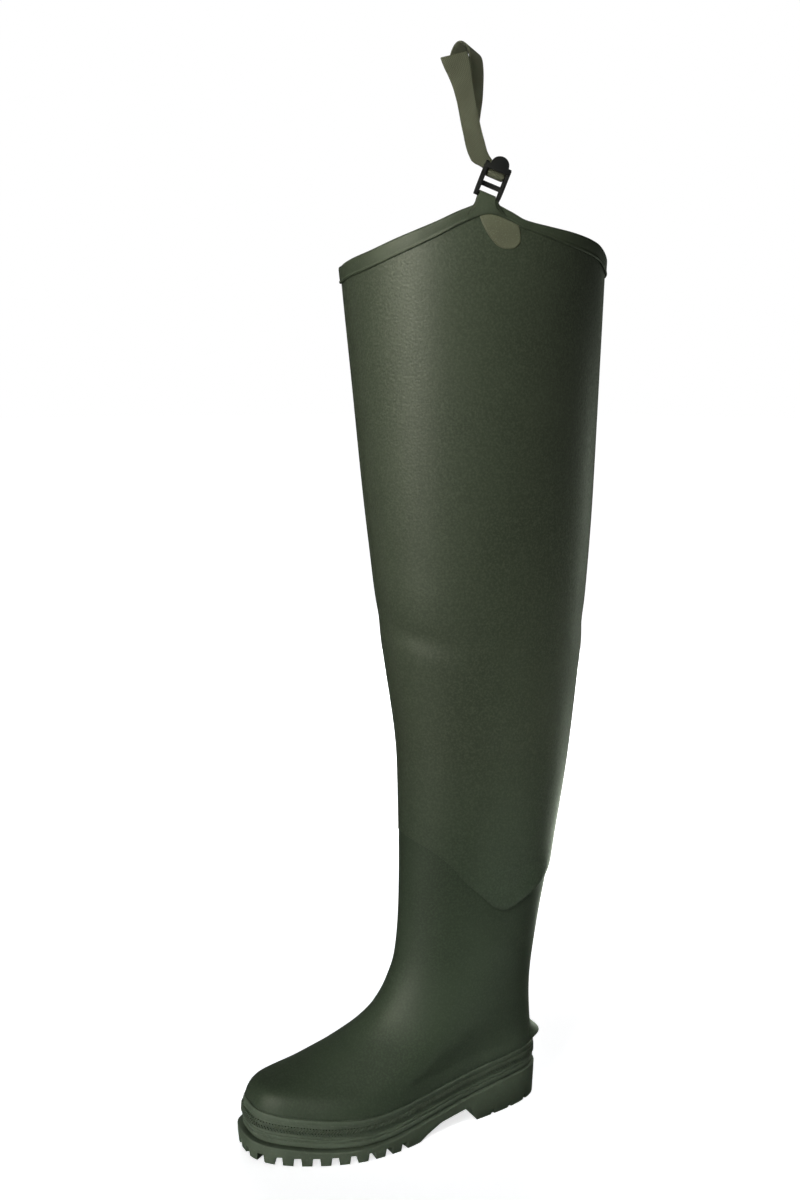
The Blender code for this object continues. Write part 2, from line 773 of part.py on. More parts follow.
def box_mesh(name, size, place):
    body = bmesh.new()
    bmesh.ops.create_cube(body, size=1.0)
    bmesh.ops.scale(body, vec=size, verts=body.verts)
    bmesh.ops.translate(body, vec=place, verts=body.verts)
    mesh = bpy.data.meshes.new(name)
    body.to_mesh(mesh)
    body.free()
    return mesh


def thumb_tab_mesh():
    """Rounded plate on the front of the buckle, from its rails to the tip."""
    half = BUCKLE_WIDTH / 2.0 - THUMB_TAB_INSET
    outline = [(-half, 0.0), (-half, -THUMB_TAB_FOOT), (half, -THUMB_TAB_FOOT), (half, 0.0)]
    for k in range(THUMB_TAB_STEPS + 1):
        angle = math.pi * k / THUMB_TAB_STEPS
        rise = THUMB_TAB_REACH * math.sin(angle) ** THUMB_TAB_FULLNESS
        outline.append((THUMB_TAB_HALF * math.cos(angle), rise))
    sections = []
    for out in (THUMB_TAB_BACK, THUMB_TAB_FRONT):
        sections.append([Vector((x, out, THUMB_TAB_UP + up)) for x, up in outline])
    return loft_mesh("thumb_tab", sections, "capped")


def add_buckle(group, cutters, finish):
    """Two rails, three bars and the thumb tab, made one body."""
    frame = buckle_frame()
    rail_at = (BUCKLE_WIDTH - RAIL_WIDTH) / 2.0
    rail_out = (RAIL_FRONT + RAIL_BACK) / 2.0
    rail_mid = RAIL_LENGTH / 2.0 - BAR_THICK / 2.0
    rail_size = (RAIL_WIDTH, RAIL_FRONT - RAIL_BACK, RAIL_LENGTH)
    near_rail = box_mesh("near_rail", rail_size, (-rail_at, rail_out, rail_mid))
    buckle = add_object("buckle", near_rail, group, finish)
    buckle.matrix_world = frame
    bar_length = BUCKLE_WIDTH - RAIL_WIDTH
    joined = [box_mesh(name, (bar_length, BAR_DEPTH, tall), (0.0, out, up)) for name, out, up, tall in BARS]
    joined.append(box_mesh("far_rail", rail_size, (rail_at, rail_out, rail_mid)))
    joined.append(thumb_tab_mesh())
    for mesh in joined:
        piece = add_object(mesh.name, mesh, cutters)
        piece.matrix_world = frame
        piece.hide_render = True
        piece.display_type = "WIRE"
        cut(buckle, piece, "UNION")


def tab_mesh():
    """Short tongue that rises from the rim, rounds the buckle's low bar and returns."""
    foot_frame, bar_frame = peak_frame(), buckle_frame()
    bar_out, bar_up = BARS[0][1], BARS[0][2]
    inside = BAR_THICK / 2.0 * math.sqrt(2.0) + GAP
    outside = inside + TAB_WALL
    peak = math.radians(PEAK_ANGLE)
    sections = []
    for share in (-0.5, -0.25, 0.0, 0.25, 0.5):
        foot_along = share * TAB_FOOT_WIDTH
        rim = facet_height(peak + foot_along / leg_radius(peak), rim_height)
        foot_up = rim - rim_height(peak) + TAB_FOOT_UP
        paths = []
        for radius in (inside, outside):
            path = [foot_frame @ Vector((foot_along, bar_out + radius, foot_up))]
            for k in range(TAB_STEPS + 1):
                angle = math.pi * k / TAB_STEPS
                out = bar_out + radius * math.cos(angle)
                up = bar_up + radius * math.sin(angle)
                path.append(bar_frame @ Vector((share * TAB_WIDTH, out, up)))
            path.append(foot_frame @ Vector((foot_along, bar_out - radius, foot_up)))
            paths.append(path)
        sections.append(paths[0] + paths[1][::-1])
    return loft_mesh("buckle_tab", sections, "capped")


def strap_route():
    """Places and width directions along the strap, from its cut end to the end behind it."""
    peak, bar_frame = peak_frame(), buckle_frame()
    bar_out, bar_up = BARS[2][1], BARS[2][2]
    radius = BAR_THICK / 2.0 * math.sqrt(2.0) + GAP + STRAP_WALL / 2.0

    def laid(rows):
        run = []
        for along, out, up, turn, dip in rows:
            swing, drop = math.radians(turn), math.radians(dip)
            width = Vector((math.cos(swing) * math.cos(drop), math.sin(swing) * math.cos(drop), -math.sin(drop)))
            run.append((*(peak @ Vector((along, out, up))), *(peak.to_3x3() @ width)))
        return run

    wrap = []
    for degrees in STRAP_WRAP_ANGLES:
        angle = math.radians(degrees)
        spot = Vector((0.0, bar_out + radius * math.cos(angle), bar_up + radius * math.sin(angle)))
        wrap.append((*(bar_frame @ spot), *(bar_frame.to_3x3() @ Vector((1.0, 0.0, 0.0)))))
    return np.array(laid(STRAP_FRONT) + wrap + laid(STRAP_BACK))


def strap_mesh():
    """Webbing through the top of the buckle, folded over to a belt loop at its head."""
    route = strap_route()
    slopes = np.gradient(route, axis=0)
    places = []
    for k in range(len(route) - 1):
        for step in range(STRAP_STEPS):
            s = step / STRAP_STEPS
            value = (2 * s**3 - 3 * s**2 + 1) * route[k] + (3 * s**2 - 2 * s**3) * route[k + 1]
            value += (s**3 - 2 * s**2 + s) * slopes[k] + (s**3 - s**2) * slopes[k + 1]
            places.append(value)
    places = np.array(places + [route[-1]])
    ahead = np.gradient(places[:, :3], axis=0)
    sections = []
    for value, run in zip(places, ahead):
        width = Vector(value[3:]).normalized()
        face = Vector(run).cross(width).normalized()
        section = []
        for w, f in ((-0.5, -0.5), (0.5, -0.5), (0.5, 0.5), (-0.5, 0.5)):
            section.append(Vector(value[:3]) + width * (w * STRAP_WIDTH) + face * (f * STRAP_WALL))
        sections.append(section)
    return loft_mesh("belt_strap", sections, "capped")


def centre_over_origin(group):
    """Move all pieces so that the middle of their common box stands on the origin."""
    bpy.context.view_layer.update()
    graph = bpy.context.evaluated_depsgraph_get()
    corners = []
    for item in group.objects:
        shape = item.evaluated_get(graph)
        corners += [shape.matrix_world @ vertex.co for vertex in shape.data.vertices]
    low = Vector([min(corner[i] for corner in corners) for i in range(3)])
    high = Vector([max(corner[i] for corner in corners) for i in range(3)])
    shift = Matrix.Translation((-(low.x + high.x) / 2.0, -(low.y + high.y) / 2.0, -low.z))
    for item in bpy.data.objects:
        item.matrix_world = shift @ item.matrix_world


def main():
    clear_scene()
    group = bpy.data.collections.new(OBJECT_NAME)
    cutters = bpy.data.collections.new(OBJECT_NAME + "_cutters")
    bpy.context.scene.collection.children.link(group)
    bpy.context.scene.collection.children.link(cutters)

    boot_rubber = material("boot_rubber", (0.040, 0.055, 0.038), 0.45)
    sole_rubber = material("sole_rubber", (0.055, 0.070, 0.050), 0.60)
    leg_sheet = material("leg_sheet", (0.075, 0.085, 0.055), 0.50)
    binding_sheet = material("binding_sheet", (0.070, 0.075, 0.050), 0.45)
    footbed = material("footbed", (0.020, 0.021, 0.020), 0.90)
    webbing = material("webbing", (0.130, 0.130, 0.085), 0.85)
    buckle_plastic = material("buckle_plastic", (0.006, 0.007, 0.007), 0.40)

    outsole = add_object("outsole", outsole_mesh(), group, sole_rubber)
    grooves = add_object("tread_grooves", groove_cutters(), cutters)
    grooves.hide_render = True
    grooves.display_type = "WIRE"
    cut(outsole, grooves)
    add_object("insole", insole_mesh(), group, footbed)
    upper = add_object("upper", upper_mesh(), group, boot_rubber)
    solidify(upper, UPPER_WALL)
    add_object("rand", rand_mesh(), group, sole_rubber)
    add_object("heel_spur", spur_mesh(), group, boot_rubber)
    leg = add_object("leg", leg_mesh(), group, leg_sheet)
    solidify(leg, LEG_WALL)
    add_object("back_seam", seam_mesh(), group, leg_sheet)
    add_object("collar_binding", binding_mesh(), group, binding_sheet)
    for row in PATCHES:
        add_object(row[0], patch_mesh(*row), group, binding_sheet)
    add_object("buckle_tab", tab_mesh(), group, binding_sheet)
    add_buckle(group, cutters, buckle_plastic)
    add_object("belt_strap", strap_mesh(), group, webbing)
    centre_over_origin(group)


main()
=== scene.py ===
"""Looks of a left hip wader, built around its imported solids.

Everything is drawn in metres in the foot's own frame, with the toe to -Y, the outer side to +X and the floor
at z 0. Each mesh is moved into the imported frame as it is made.
"""

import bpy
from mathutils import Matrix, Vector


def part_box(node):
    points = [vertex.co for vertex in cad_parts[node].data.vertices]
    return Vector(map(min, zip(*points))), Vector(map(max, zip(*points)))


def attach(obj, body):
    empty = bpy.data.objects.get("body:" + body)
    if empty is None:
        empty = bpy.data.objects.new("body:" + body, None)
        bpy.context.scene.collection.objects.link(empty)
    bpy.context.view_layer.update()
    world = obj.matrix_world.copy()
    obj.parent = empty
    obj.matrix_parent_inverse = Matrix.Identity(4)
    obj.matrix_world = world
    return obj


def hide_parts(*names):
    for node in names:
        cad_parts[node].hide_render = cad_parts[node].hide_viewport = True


bl_info = {
    "name": "Hip Wader",
    "version": (1, 0, 0),
    "blender": (4, 5, 0),
    "location": "View3D > Sidebar > Wader",
    "description": "Builds the finished surfaces of a hip wader around its solids",
    "category": "Object",
}

import math

import bmesh
import bpy
import numpy as np
from bpy.props import FloatProperty, FloatVectorProperty, PointerProperty
from mathutils import Matrix, Vector

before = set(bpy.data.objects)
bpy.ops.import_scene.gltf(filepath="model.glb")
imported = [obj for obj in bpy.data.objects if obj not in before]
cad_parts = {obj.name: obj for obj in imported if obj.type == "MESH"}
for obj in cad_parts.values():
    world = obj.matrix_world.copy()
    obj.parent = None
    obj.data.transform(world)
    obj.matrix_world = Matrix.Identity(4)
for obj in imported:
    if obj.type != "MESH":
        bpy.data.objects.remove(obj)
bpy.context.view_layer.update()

# Clearance between pieces, and how near two points of one mesh are merged.
GAP = 0.0003
MERGE = 1e-6
FINE_MERGE = 1e-7
# A piece with fewer faces than this was not worked through.
LEAST_FACES = 1000
QUARTER = math.pi / 2.0

# Main form of the boot and leg. One row is one ring around the outside, from the sole to the collar.
# Columns: level, front_y, front_z, back_y, medial, lateral, fullness, foot.
SHELL = (
    (0.0330, -0.1460, 0.0210, 0.1460, 0.0400, 0.0420, 0.60, 1.00),
    (0.0360, -0.1460, 0.0240, 0.1460, 0.0400, 0.0420, 0.60, 1.00),
    (0.0460, -0.1474, 0.0370, 0.1472, 0.0410, 0.0430, 0.60, 1.00),
    (0.0560, -0.1442, 0.0505, 0.1470, 0.0410, 0.0430, 0.61, 0.98),
    (0.0650, -0.1370, 0.0645, 0.1466, 0.0410, 0.0430, 0.65, 0.94),
    (0.0750, -0.1075, 0.0755, 0.1463, 0.0415, 0.0430, 0.71, 0.86),
    (0.0870, -0.0735, 0.0855, 0.1460, 0.0420, 0.0430, 0.79, 0.66),
    (0.1000, -0.0415, 0.0975, 0.1458, 0.0425, 0.0430, 0.87, 0.42),
    (0.1140, -0.0205, 0.1130, 0.1460, 0.0425, 0.0430, 0.94, 0.20),
    (0.1320, -0.0060, 0.1345, 0.1472, 0.0430, 0.0430, 0.98, 0.06),
    (0.1560, 0.0034, 0.1600, 0.1502, 0.0435, 0.0435, 1.00, 0.00),
    (0.1900, 0.0074, 0.1910, 0.1552, 0.0455, 0.0455, 1.00, 0.00),
    (0.2250, 0.0092, 0.2250, 0.1618, 0.0475, 0.0475, 1.00, 0.00),
    (0.2670, 0.0108, 0.2670, 0.1690, 0.0505, 0.0505, 1.00, 0.00),
    (0.3460, 0.0098, 0.3460, 0.1808, 0.0565, 0.0565, 1.00, 0.00),
    (0.4620, -0.0050, 0.4620, 0.1915, 0.0660, 0.0660, 1.00, 0.00),
    (0.5920, -0.0215, 0.5920, 0.1984, 0.0770, 0.0770, 1.00, 0.00),
    (0.7000, -0.0320, 0.7000, 0.2001, 0.0860, 0.0860, 1.00, 0.00),
    (0.7980, -0.0415, 0.7980, 0.2014, 0.0940, 0.0940, 1.00, 0.00),
    (0.8700, -0.0470, 0.8700, 0.2020, 0.0995, 0.0995, 1.00, 0.00),
)
SHELL_COLUMNS = 8
SHELL_MEDIAL = 4
OUTLINE_LEVEL = SHELL[2][0]
FEATHER_LEVEL = SHELL[0][0]
FEATHER_FRONT_Z = SHELL[0][2]
FOOT_FRONT_Y = SHELL[0][1]
FOOT_BACK_Y = SHELL[0][3]

# Plan of the foot, before its ends are rounded. Columns: station, medial, lateral.
FOOT_PLAN = (
    (0.00, 0.0500, 0.0450),
    (0.10, 0.0515, 0.0495),
    (0.20, 0.0530, 0.0570),
    (0.30, 0.0520, 0.0605),
    (0.40, 0.0465, 0.0580),
    (0.50, 0.0395, 0.0520),
    (0.60, 0.0355, 0.0470),
    (0.70, 0.0360, 0.0445),
    (0.80, 0.0390, 0.0440),
    (0.90, 0.0410, 0.0440),
    (1.00, 0.0420, 0.0440),
)
TOE_SWING = 0.004

# Top and underside of the outsole along the foot. Columns: y, z.
SOLE_TOP = (
    (-0.1520, 0.0218),
    (-0.1300, 0.0180),
    (-0.1050, 0.0148),
    (-0.0800, 0.0131),
    (-0.0550, 0.0130),
    (-0.0200, 0.0155),
    (0.0200, 0.0205),
    (0.0600, 0.0270),
    (0.1000, 0.0315),
    (0.1520, 0.0332),
)
SOLE_UNDER = (
    (-0.1560, 0.0044),
    (-0.1350, 0.0016),
    (-0.1150, 0.0000),
    (0.0000, 0.0000),
    (0.0090, 0.0050),
    (0.0260, 0.0115),
    (0.0590, 0.0160),
    (0.0670, 0.0000),
    (0.1420, 0.0000),
    (0.1520, 0.0022),
)

# Side of the outsole, from its top lip down. Columns: drop, out.
SOLE_SIDE = (
    (0.0000, 0.0034),
    (0.0008, 0.0040),
    (0.0080, 0.0038),
)
SOLE_LIP_OUT = 0.0040
SOLE_FOOT_OUT = 0.0028
SOLE_TOE_EXTRA = 0.0034
SOLE_STATIONS = 150
SOLE_BEVEL = 0.0007
SOLID_STATIONS = 48
SOLID_AROUND = 52
HEEL_BREAST_Y = (0.0590, 0.0670)

# Tread: lugs stand between grooves that are wider at the floor than at their root.
LUG_PITCH = 0.0172
LUG_LAST_Y = -0.0020
GROOVE_FLOOR = 0.0086
GROOVE_ROOT = 0.0062
GROOVE_DEPTH = 0.0080
GROOVE_REACH = 0.0140
GROOVE_OVERSHOOT = 0.0080
GROOVE_BELOW_FLOOR = 0.0040
HEEL_GROOVE_Y = (0.0860, 0.1070, 0.1270)
HEEL_GROOVE_FLOOR = 0.0044
HEEL_GROOVE_ROOT = 0.0034
HEEL_GROOVE_DEPTH = 0.0046
HEEL_GROOVE_REACH = 0.0018
BAR_GROOVE_Y = (-0.1080, -0.0865, -0.0650, -0.0435, -0.0220)
BAR_GROOVE_DEPTH = 0.0060
BAR_GROOVE_SHARE = 0.48
EDGE_WALK_STEPS = 2400

BOOT_WALL = 0.0024
BOOT_TOP = 0.3040
BOOT_AROUND = 216
# Rows of points up the boot's wall: the foot behind the rand, the groove above it, the vamp and the shaft.
BOOT_FOOT_TOP = 0.0555
BOOT_FOOT_ROWS = 12
BOOT_GROOVE_LEVELS = (0.0557, 0.0558, 0.0559, 0.0560, 0.0561, 0.0563, 0.0565)
VAMP_FOOT = 0.0567
VAMP_TOP = 0.1300
VAMP_ROWS = 68
SHAFT_ROWS = 60
OUTLINE_STEPS = 6000
# Soft forms of the boot's wall: half_height across the form, then rows of turn, level and depth along it.
# A negative depth is a ridge.
BOOT_FORMS = (
    (0.0330, ((-75, 0.2640, 0.0), (-20, 0.2680, -0.0011), (25, 0.2660, -0.0011), (70, 0.2500, 0.0))),
)
# The wall swells to the rand's face just above it, and leaves a groove between them.
# Columns: level, share of the swell; then turn, swell.
SWELL_LEVELS = (
    (0.0330, 0.00),
    (0.0557, 0.00),
    (0.0561, 0.86),
    (0.0567, 1.00),
    (0.0600, 0.96),
    (0.0660, 0.60),
    (0.0760, 0.12),
    (0.0860, 0.00),
)
SWELL_TURNS = (
    (0.0, 0.0018),
    (90.0, 0.0016),
    (150.0, 0.0013),
    (168.0, 0.0006),
    (180.0, 0.0004),
)

FOOTBED_THICK = 0.0032
FOOTBED_CLEAR = 0.0006
FOOTBED_STATIONS = 70
FOOTBED_ACROSS = 13
# The footbed cups up towards its edge and rolls over just before it.
FOOTBED_CUP = 0.0022
FOOTBED_CUP_POWER = 4
FOOTBED_ROLL_FROM = 0.93
FOOTBED_ROLL_WIDTH = 0.07
FOOTBED_ROLL_DROP = 0.55

# Rand around the foot, from its lower edge to its upper one. Columns: share of its height, out.
RAND_LOW = 0.0346
RAND_HIGH = 0.0560
RAND_AROUND = 320
RAND = (
    (0.000, 0.0004),
    (0.000, 0.0012),
    (0.010, 0.0018),
    (0.035, 0.0021),
    (0.075, 0.0022),
    (0.150, 0.0022),
    (0.190, 0.0021),
    (0.206, 0.0018),
    (0.216, 0.0013),
    (0.232, 0.0013),
    (0.242, 0.0018),
    (0.258, 0.0021),
    (0.330, 0.0021),
    (0.345, 0.0017),
    (0.360, 0.0007),
    (0.500, 0.0006),
    (0.640, 0.0006),
    (0.800, 0.0007),
    (0.815, 0.0017),
    (0.830, 0.0020),
    (0.930, 0.0020),
    (0.962, 0.0019),
    (0.972, 0.0015),
    (0.976, 0.0004),
    (1.000, 0.0003),
)
RAND_BACK_SHARES = (0.75, 0.5, 0.25)
RIB_SHARE = 0.575
RIB_SEAT = 0.0012
RIB_PATH_POINTS = 520
# Share of an arm from the path to its middle, short of a half, so that both arms meet in a tip.
RIB_ARM_MIDDLE = 0.46

# Kick-off ledge on the heel. Columns: out_share, level.
SPUR = (
    (0.00, 0.0564),
    (0.50, 0.0567),
    (0.98, 0.0598),
    (1.00, 0.0609),
    (0.70, 0.0638),
    (0.30, 0.0682),
    (0.00, 0.0725),
)
SPUR_HALF_TURN = 3.0 * 2.0 * math.pi / SOLID_AROUND
SPUR_SECTIONS = 41
SPUR_SEAT_ROWS = 6
SPUR_OUT = 0.0100
SPUR_END_OUT = 0.0009
SPUR_FULLNESS = 0.8

# Leg: its lower hem and its rim around the leg, 0 at the front, 90 on the outer side.
# Columns: angle, hem, rim, band.
LEG_EDGE = (
    (0.0, 0.2855, 0.8010, 0.0125),
    (17.0, 0.2820, 0.8080, 0.0125),
    (35.0, 0.2745, 0.8195, 0.0120),
    (50.0, 0.2615, 0.8305, 0.0105),
    (62.0, 0.2455, 0.8410, 0.0090),
    (71.0, 0.2350, 0.8465, 0.0080),
    (80.0, 0.2245, 0.8395, 0.0060),
    (87.0, 0.2158, 0.8325, 0.0055),
    (98.0, 0.2102, 0.8280, 0.0075),
    (112.0, 0.2165, 0.8235, 0.0105),
    (130.0, 0.2285, 0.8165, 0.0120),
    (150.0, 0.2380, 0.8045, 0.0125),
    (180.0, 0.2440, 0.7985, 0.0125),
    (220.0, 0.2330, 0.8050, 0.0125),
    (250.0, 0.2170, 0.8160, 0.0125),
    (268.0, 0.2100, 0.8200, 0.0125),
    (285.0, 0.2250, 0.8180, 0.0125),
    (305.0, 0.2510, 0.8080, 0.0125),
    (325.0, 0.2730, 0.7990, 0.0125),
    (345.0, 0.2840, 0.7965, 0.0125),
    (360.0, 0.2855, 0.8010, 0.0125),
)
# Columns of that table.
HEM, RIM, BAND = 1, 2, 3
LEG_AROUND = 208
LEG_ROWS = 250
LEG_INNER_ROWS = 80
LEG_CROWDING = 1.4
EDGE_STEPS = 5

# Creases of the leg: half_height across the fold, then rows of angle, level and depth along it.
# A negative depth is a ridge.
CREASES = (
    (0.0115, ((-45, 0.492, 0.0), (-10, 0.487, 0.0007), (20, 0.480, 0.0013), (42, 0.473, 0.0013),
              (60, 0.467, 0.0006), (82, 0.462, 0.0))),
    (0.0170, ((-45, 0.470, 0.0), (0, 0.466, -0.0003), (30, 0.459, -0.0005), (55, 0.454, -0.0004),
              (85, 0.449, 0.0))),
    (0.0220, ((-45, 0.520, 0.0), (10, 0.516, -0.0006), (40, 0.511, -0.0007), (80, 0.504, 0.0))),
    (0.0130, ((128, 0.470, 0.0), (165, 0.478, 0.0011), (195, 0.480, 0.0014), (240, 0.470, 0.0))),
    (0.0200, ((128, 0.446, 0.0), (180, 0.452, -0.0009), (240, 0.446, 0.0))),
    (0.0110, ((250, 0.486, 0.0), (285, 0.480, 0.0010), (325, 0.487, 0.0))),
    (0.0140, ((40, 0.372, 0.0), (85, 0.362, 0.0006), (125, 0.352, 0.0))),
    (0.0300, ((60, 0.610, 0.0), (105, 0.600, 0.0007), (150, 0.590, 0.0))),
)
# The hem stands off the boot behind its two low points. Columns: angle, half_angle, out, height.
HEM_POUCHES = (
    (121.0, 22.0, 0.0052, 0.0075),
    (252.0, 20.0, 0.0044, 0.0075),
)
HEM_EDGE_RISE = 0.25
CREASE_FREE_BELOW_RIM = 0.0500

# Binding folded over the rim. Columns: out, rise, hung.
BINDING = (
    (0.0003, 0.0002, 1),
    (0.0009, -0.0002, 1),
    (0.0016, 0.0002, 1),
    (0.0019, 0.0009, 1),
    (0.0018, 0.0017, 1),
    (0.0013, 0.0023, 1),
    (0.0012, 0.0030, 1),
    (0.0013, 0.0040, 1),
    (0.0014, -0.0010, 0),
    (0.0012, 0.0007, 0),
    (0.0006, 0.0014, 0),
    (-0.0003, 0.0018, 0),
    (-0.0012, 0.0018, 0),
    (-0.0020, 0.0014, 0),
    (-0.0025, 0.0007, 0),
    (-0.0026, -0.0010, 0),
    (-0.0026, -0.0082, 0),
    (-0.0023, -0.0090, 0),
    (-0.0018, -0.0090, 0),
    (-0.0015, -0.0082, 0),
    (-0.0015, 0.0003, 0),
    (0.0003, 0.0003, 0),
)
BINDING_AROUND = 312

# Half-round patches below the binding. Columns: piece, node, angle, half_width, bottom, skew.
PATCHES = (
    ("outer_rim_patch", "outer_patch", 75.8, 0.0168, 0.8110, 0.0078),
    ("inner_rim_patch", "inner_patch", 268.0, 0.0245, 0.7650, 0.0000),
)
PATCH_WALL = 0.0009
PATCH_EDGE = 0.0011
PATCH_EDGE_SHARE = 0.30
PATCH_END_SHARE = 0.992
PATCH_FULLNESS = 0.42
PATCH_ACROSS = 44
PATCH_DOWN = 30

WELD_WIDTH = 0.0130
WELD_WALL = 0.0009
WELD_STEPS = 190
WELD_ACROSS = (-1.0, -0.94, -0.84, -0.5, 0.0, 0.5, 0.84, 0.94, 1.0)
WELD_RISE = (0.15, 0.75, 1.0, 0.72, 0.66, 0.72, 1.0, 0.75, 0.15)

# Buckle and strap at the peak of the rim, along it towards the heel, out from the leg, and up.
PEAK_ANGLE = 70.5
TONGUE_WIDTH = 0.0142
TONGUE_FOOT_WIDTH = 0.0320
TONGUE_WALL = 0.0013
TONGUE_FOOT_UP = 0.0019
TONGUE_STEPS = 18
TONGUE_RISE_STEPS = 10
TONGUE_ACROSS = 25
TONGUE_FLARE = 2.6
TONGUE_END_DROP = 0.0052
APRON_STEPS = 8
APRON_WALL = 0.0004
APRON_SEAT = 0.0020
APRON_FOOT = 0.0014
APRON_TOP = 0.0006

BUCKLE_LEAN = math.radians(21)
BUCKLE_TIP_OUT = math.radians(-5)
BUCKLE_WIDTH = 0.0220
BUCKLE_FOOT_UP = 0.0052
BUCKLE_BEVEL = 0.00055
RAIL_WIDTH = 0.0028
RAIL_BACK = -0.0024
RAIL_FRONT = 0.0040
RAIL_LENGTH = 0.0282
# Cut corners of a rail's foot. Columns: in from the rail's face, up.
RAIL_FOOT_BACK = (0.0016, 0.0030)
RAIL_FOOT_FRONT = (0.0026, 0.0060)
BAR_THICK = 0.0026
BAR_SIDES = 12
# Columns: out, up, height.
BARS = (
    (-0.0005, 0.0000, 0.0026),
    (-0.0005, 0.0094, 0.0042),
    (-0.0012, 0.0190, 0.0026),
)
THUMB_TAB_UP = 0.0256
THUMB_TAB_HALF = 0.0076
THUMB_TAB_REACH = 0.0080
THUMB_TAB_FOOT = 0.0040
THUMB_TAB_BACK = 0.0034
THUMB_TAB_FRONT = 0.0058
THUMB_TAB_INSET = 0.0004
THUMB_TAB_FULLNESS = 0.9
THUMB_TAB_STEPS = 24

# Strap: webbing sewn to a loop. It runs from its cut end down the front, round the top bar, up the back
# and over an arch to a second end on its own back. Columns: along, out, up, turn, dip.
STRAP_WIDTH = 0.0152
STRAP_WALL = 0.0016
STRAP_WRAP_ANGLES = (108.0, 66.0, 25.0, -10.0, -45.0, -80.0, -115.0, -150.0, -180.0)
STRAP_FRONT = (
    (-0.0290, 0.0040, 0.1135, 0.0, -14.0),
    (-0.0268, 0.0040, 0.1080, 0.0, -16.0),
    (-0.0226, 0.0040, 0.0956, 0.0, -16.0),
    (-0.0180, 0.0030, 0.0783, 4.0, -15.0),
    (-0.0131, 0.0004, 0.0591, 8.0, -18.0),
    (-0.0083, -0.0026, 0.0456, 8.0, -22.0),
    (-0.0042, -0.0050, 0.0364, 4.0, -18.0),
    (0.0036, -0.0060, 0.0294, 0.0, 4.0),
)
STRAP_BACK = (
    (0.0055, -0.0074, 0.0280, 0.0, 10.0),
    (0.0002, -0.0086, 0.0328, 0.0, -6.0),
    (-0.0044, -0.0082, 0.0385, 0.0, -20.0),
    (-0.0085, -0.0068, 0.0468, -4.0, -20.0),
    (-0.0116, -0.0060, 0.0600, -14.0, -6.0),
    (-0.0102, -0.0064, 0.0690, -24.0, 0.0),
    (-0.0078, -0.0072, 0.0820, -30.0, 0.0),
    (-0.0072, -0.0070, 0.0974, -30.0, 0.0),
    (-0.0078, -0.0062, 0.1080, -30.0, 6.0),
    (-0.0088, -0.0070, 0.1155, -30.0, 16.0),
    (-0.0112, -0.0105, 0.1206, -30.0, 26.0),
    (-0.0150, -0.0152, 0.1226, -30.0, 29.0),
    (-0.0178, -0.0203, 0.1204, -30.0, 24.0),
    (-0.0198, -0.0236, 0.1140, -30.0, 12.0),
    (-0.0202, -0.0236, 0.1060, -30.0, 0.0),
    (-0.0178, -0.0186, 0.0975, -30.0, 0.0),
    (-0.0138, -0.0128, 0.0905, -30.0, 0.0),
    (-0.0114, -0.0098, 0.0835, -30.0, 0.0),
    (-0.0120, -0.0094, 0.0760, -28.0, 0.0),
)
STRAP_STEPS = 10
# The strap's cut ends are rounded, and the upper one is pressed wide.
# Columns: distance from the end, share of the width at the upper end, share at the lower one.
STRAP_END = (
    (0.0000, 1.42, 0.90),
    (0.0004, 1.45, 0.97),
    (0.0012, 1.47, 1.00),
    (0.0030, 1.47, 1.00),
    (0.0070, 1.44, 1.00),
    (0.0140, 1.30, 1.00),
    (0.0260, 1.08, 1.00),
    (0.0360, 1.00, 1.00),
)
# Section of the webbing, as shares of its width and thickness. Columns: across, through.
STRAP_SECTION = (
    (-0.490, -0.30), (-0.470, -0.44), (-0.300, -0.50), (0.000, -0.50), (0.300, -0.50), (0.470, -0.44),
    (0.490, -0.30), (0.500, 0.00), (0.490, 0.30), (0.470, 0.44), (0.300, 0.50), (0.000, 0.50),
    (-0.300, 0.50), (-0.470, 0.44), (-0.490, 0.30), (-0.500, 0.00),
)
# Spacing of the threads across the strap, and of the picks along it.
WEAVE_THREAD = 0.00105
WEAVE_PICK = 0.00125
# Heights between which the painted shade on the lower leg fades into the leg's own colour, and the values
# that most of a noise lies between.
LOWER_LEG_SHADE_FADE = (0.23, 0.38)
NOISE_LOW = 0.3
NOISE_HIGH = 0.7

# Camera, fitted to the photograph of 800 by 1200.
CAMERA_AZIMUTH = math.radians(63.0)
CAMERA_DISTANCE = 1.32
CAMERA_HEIGHT = 0.77
CAMERA_PITCH = math.atan(0.2)
CAMERA_LENS_MM = 45.0
CAMERA_SHIFT_X = 6.5 / 1200.0

# Places that the lights are turned to, and how far above the peak of the rim the strap's light is turned.
LIGHT_TARGETS = {
    "thigh": (0.0, 0.07, 0.70),
    "knee": (0.0, 0.07, 0.45),
    "shin": (0.0, 0.07, 0.22),
    "toe": (0.0, -0.09, 0.05),
    "hem": (0.03, 0.10, 0.20),
}
STRAP_LIGHT_RISE = 0.05
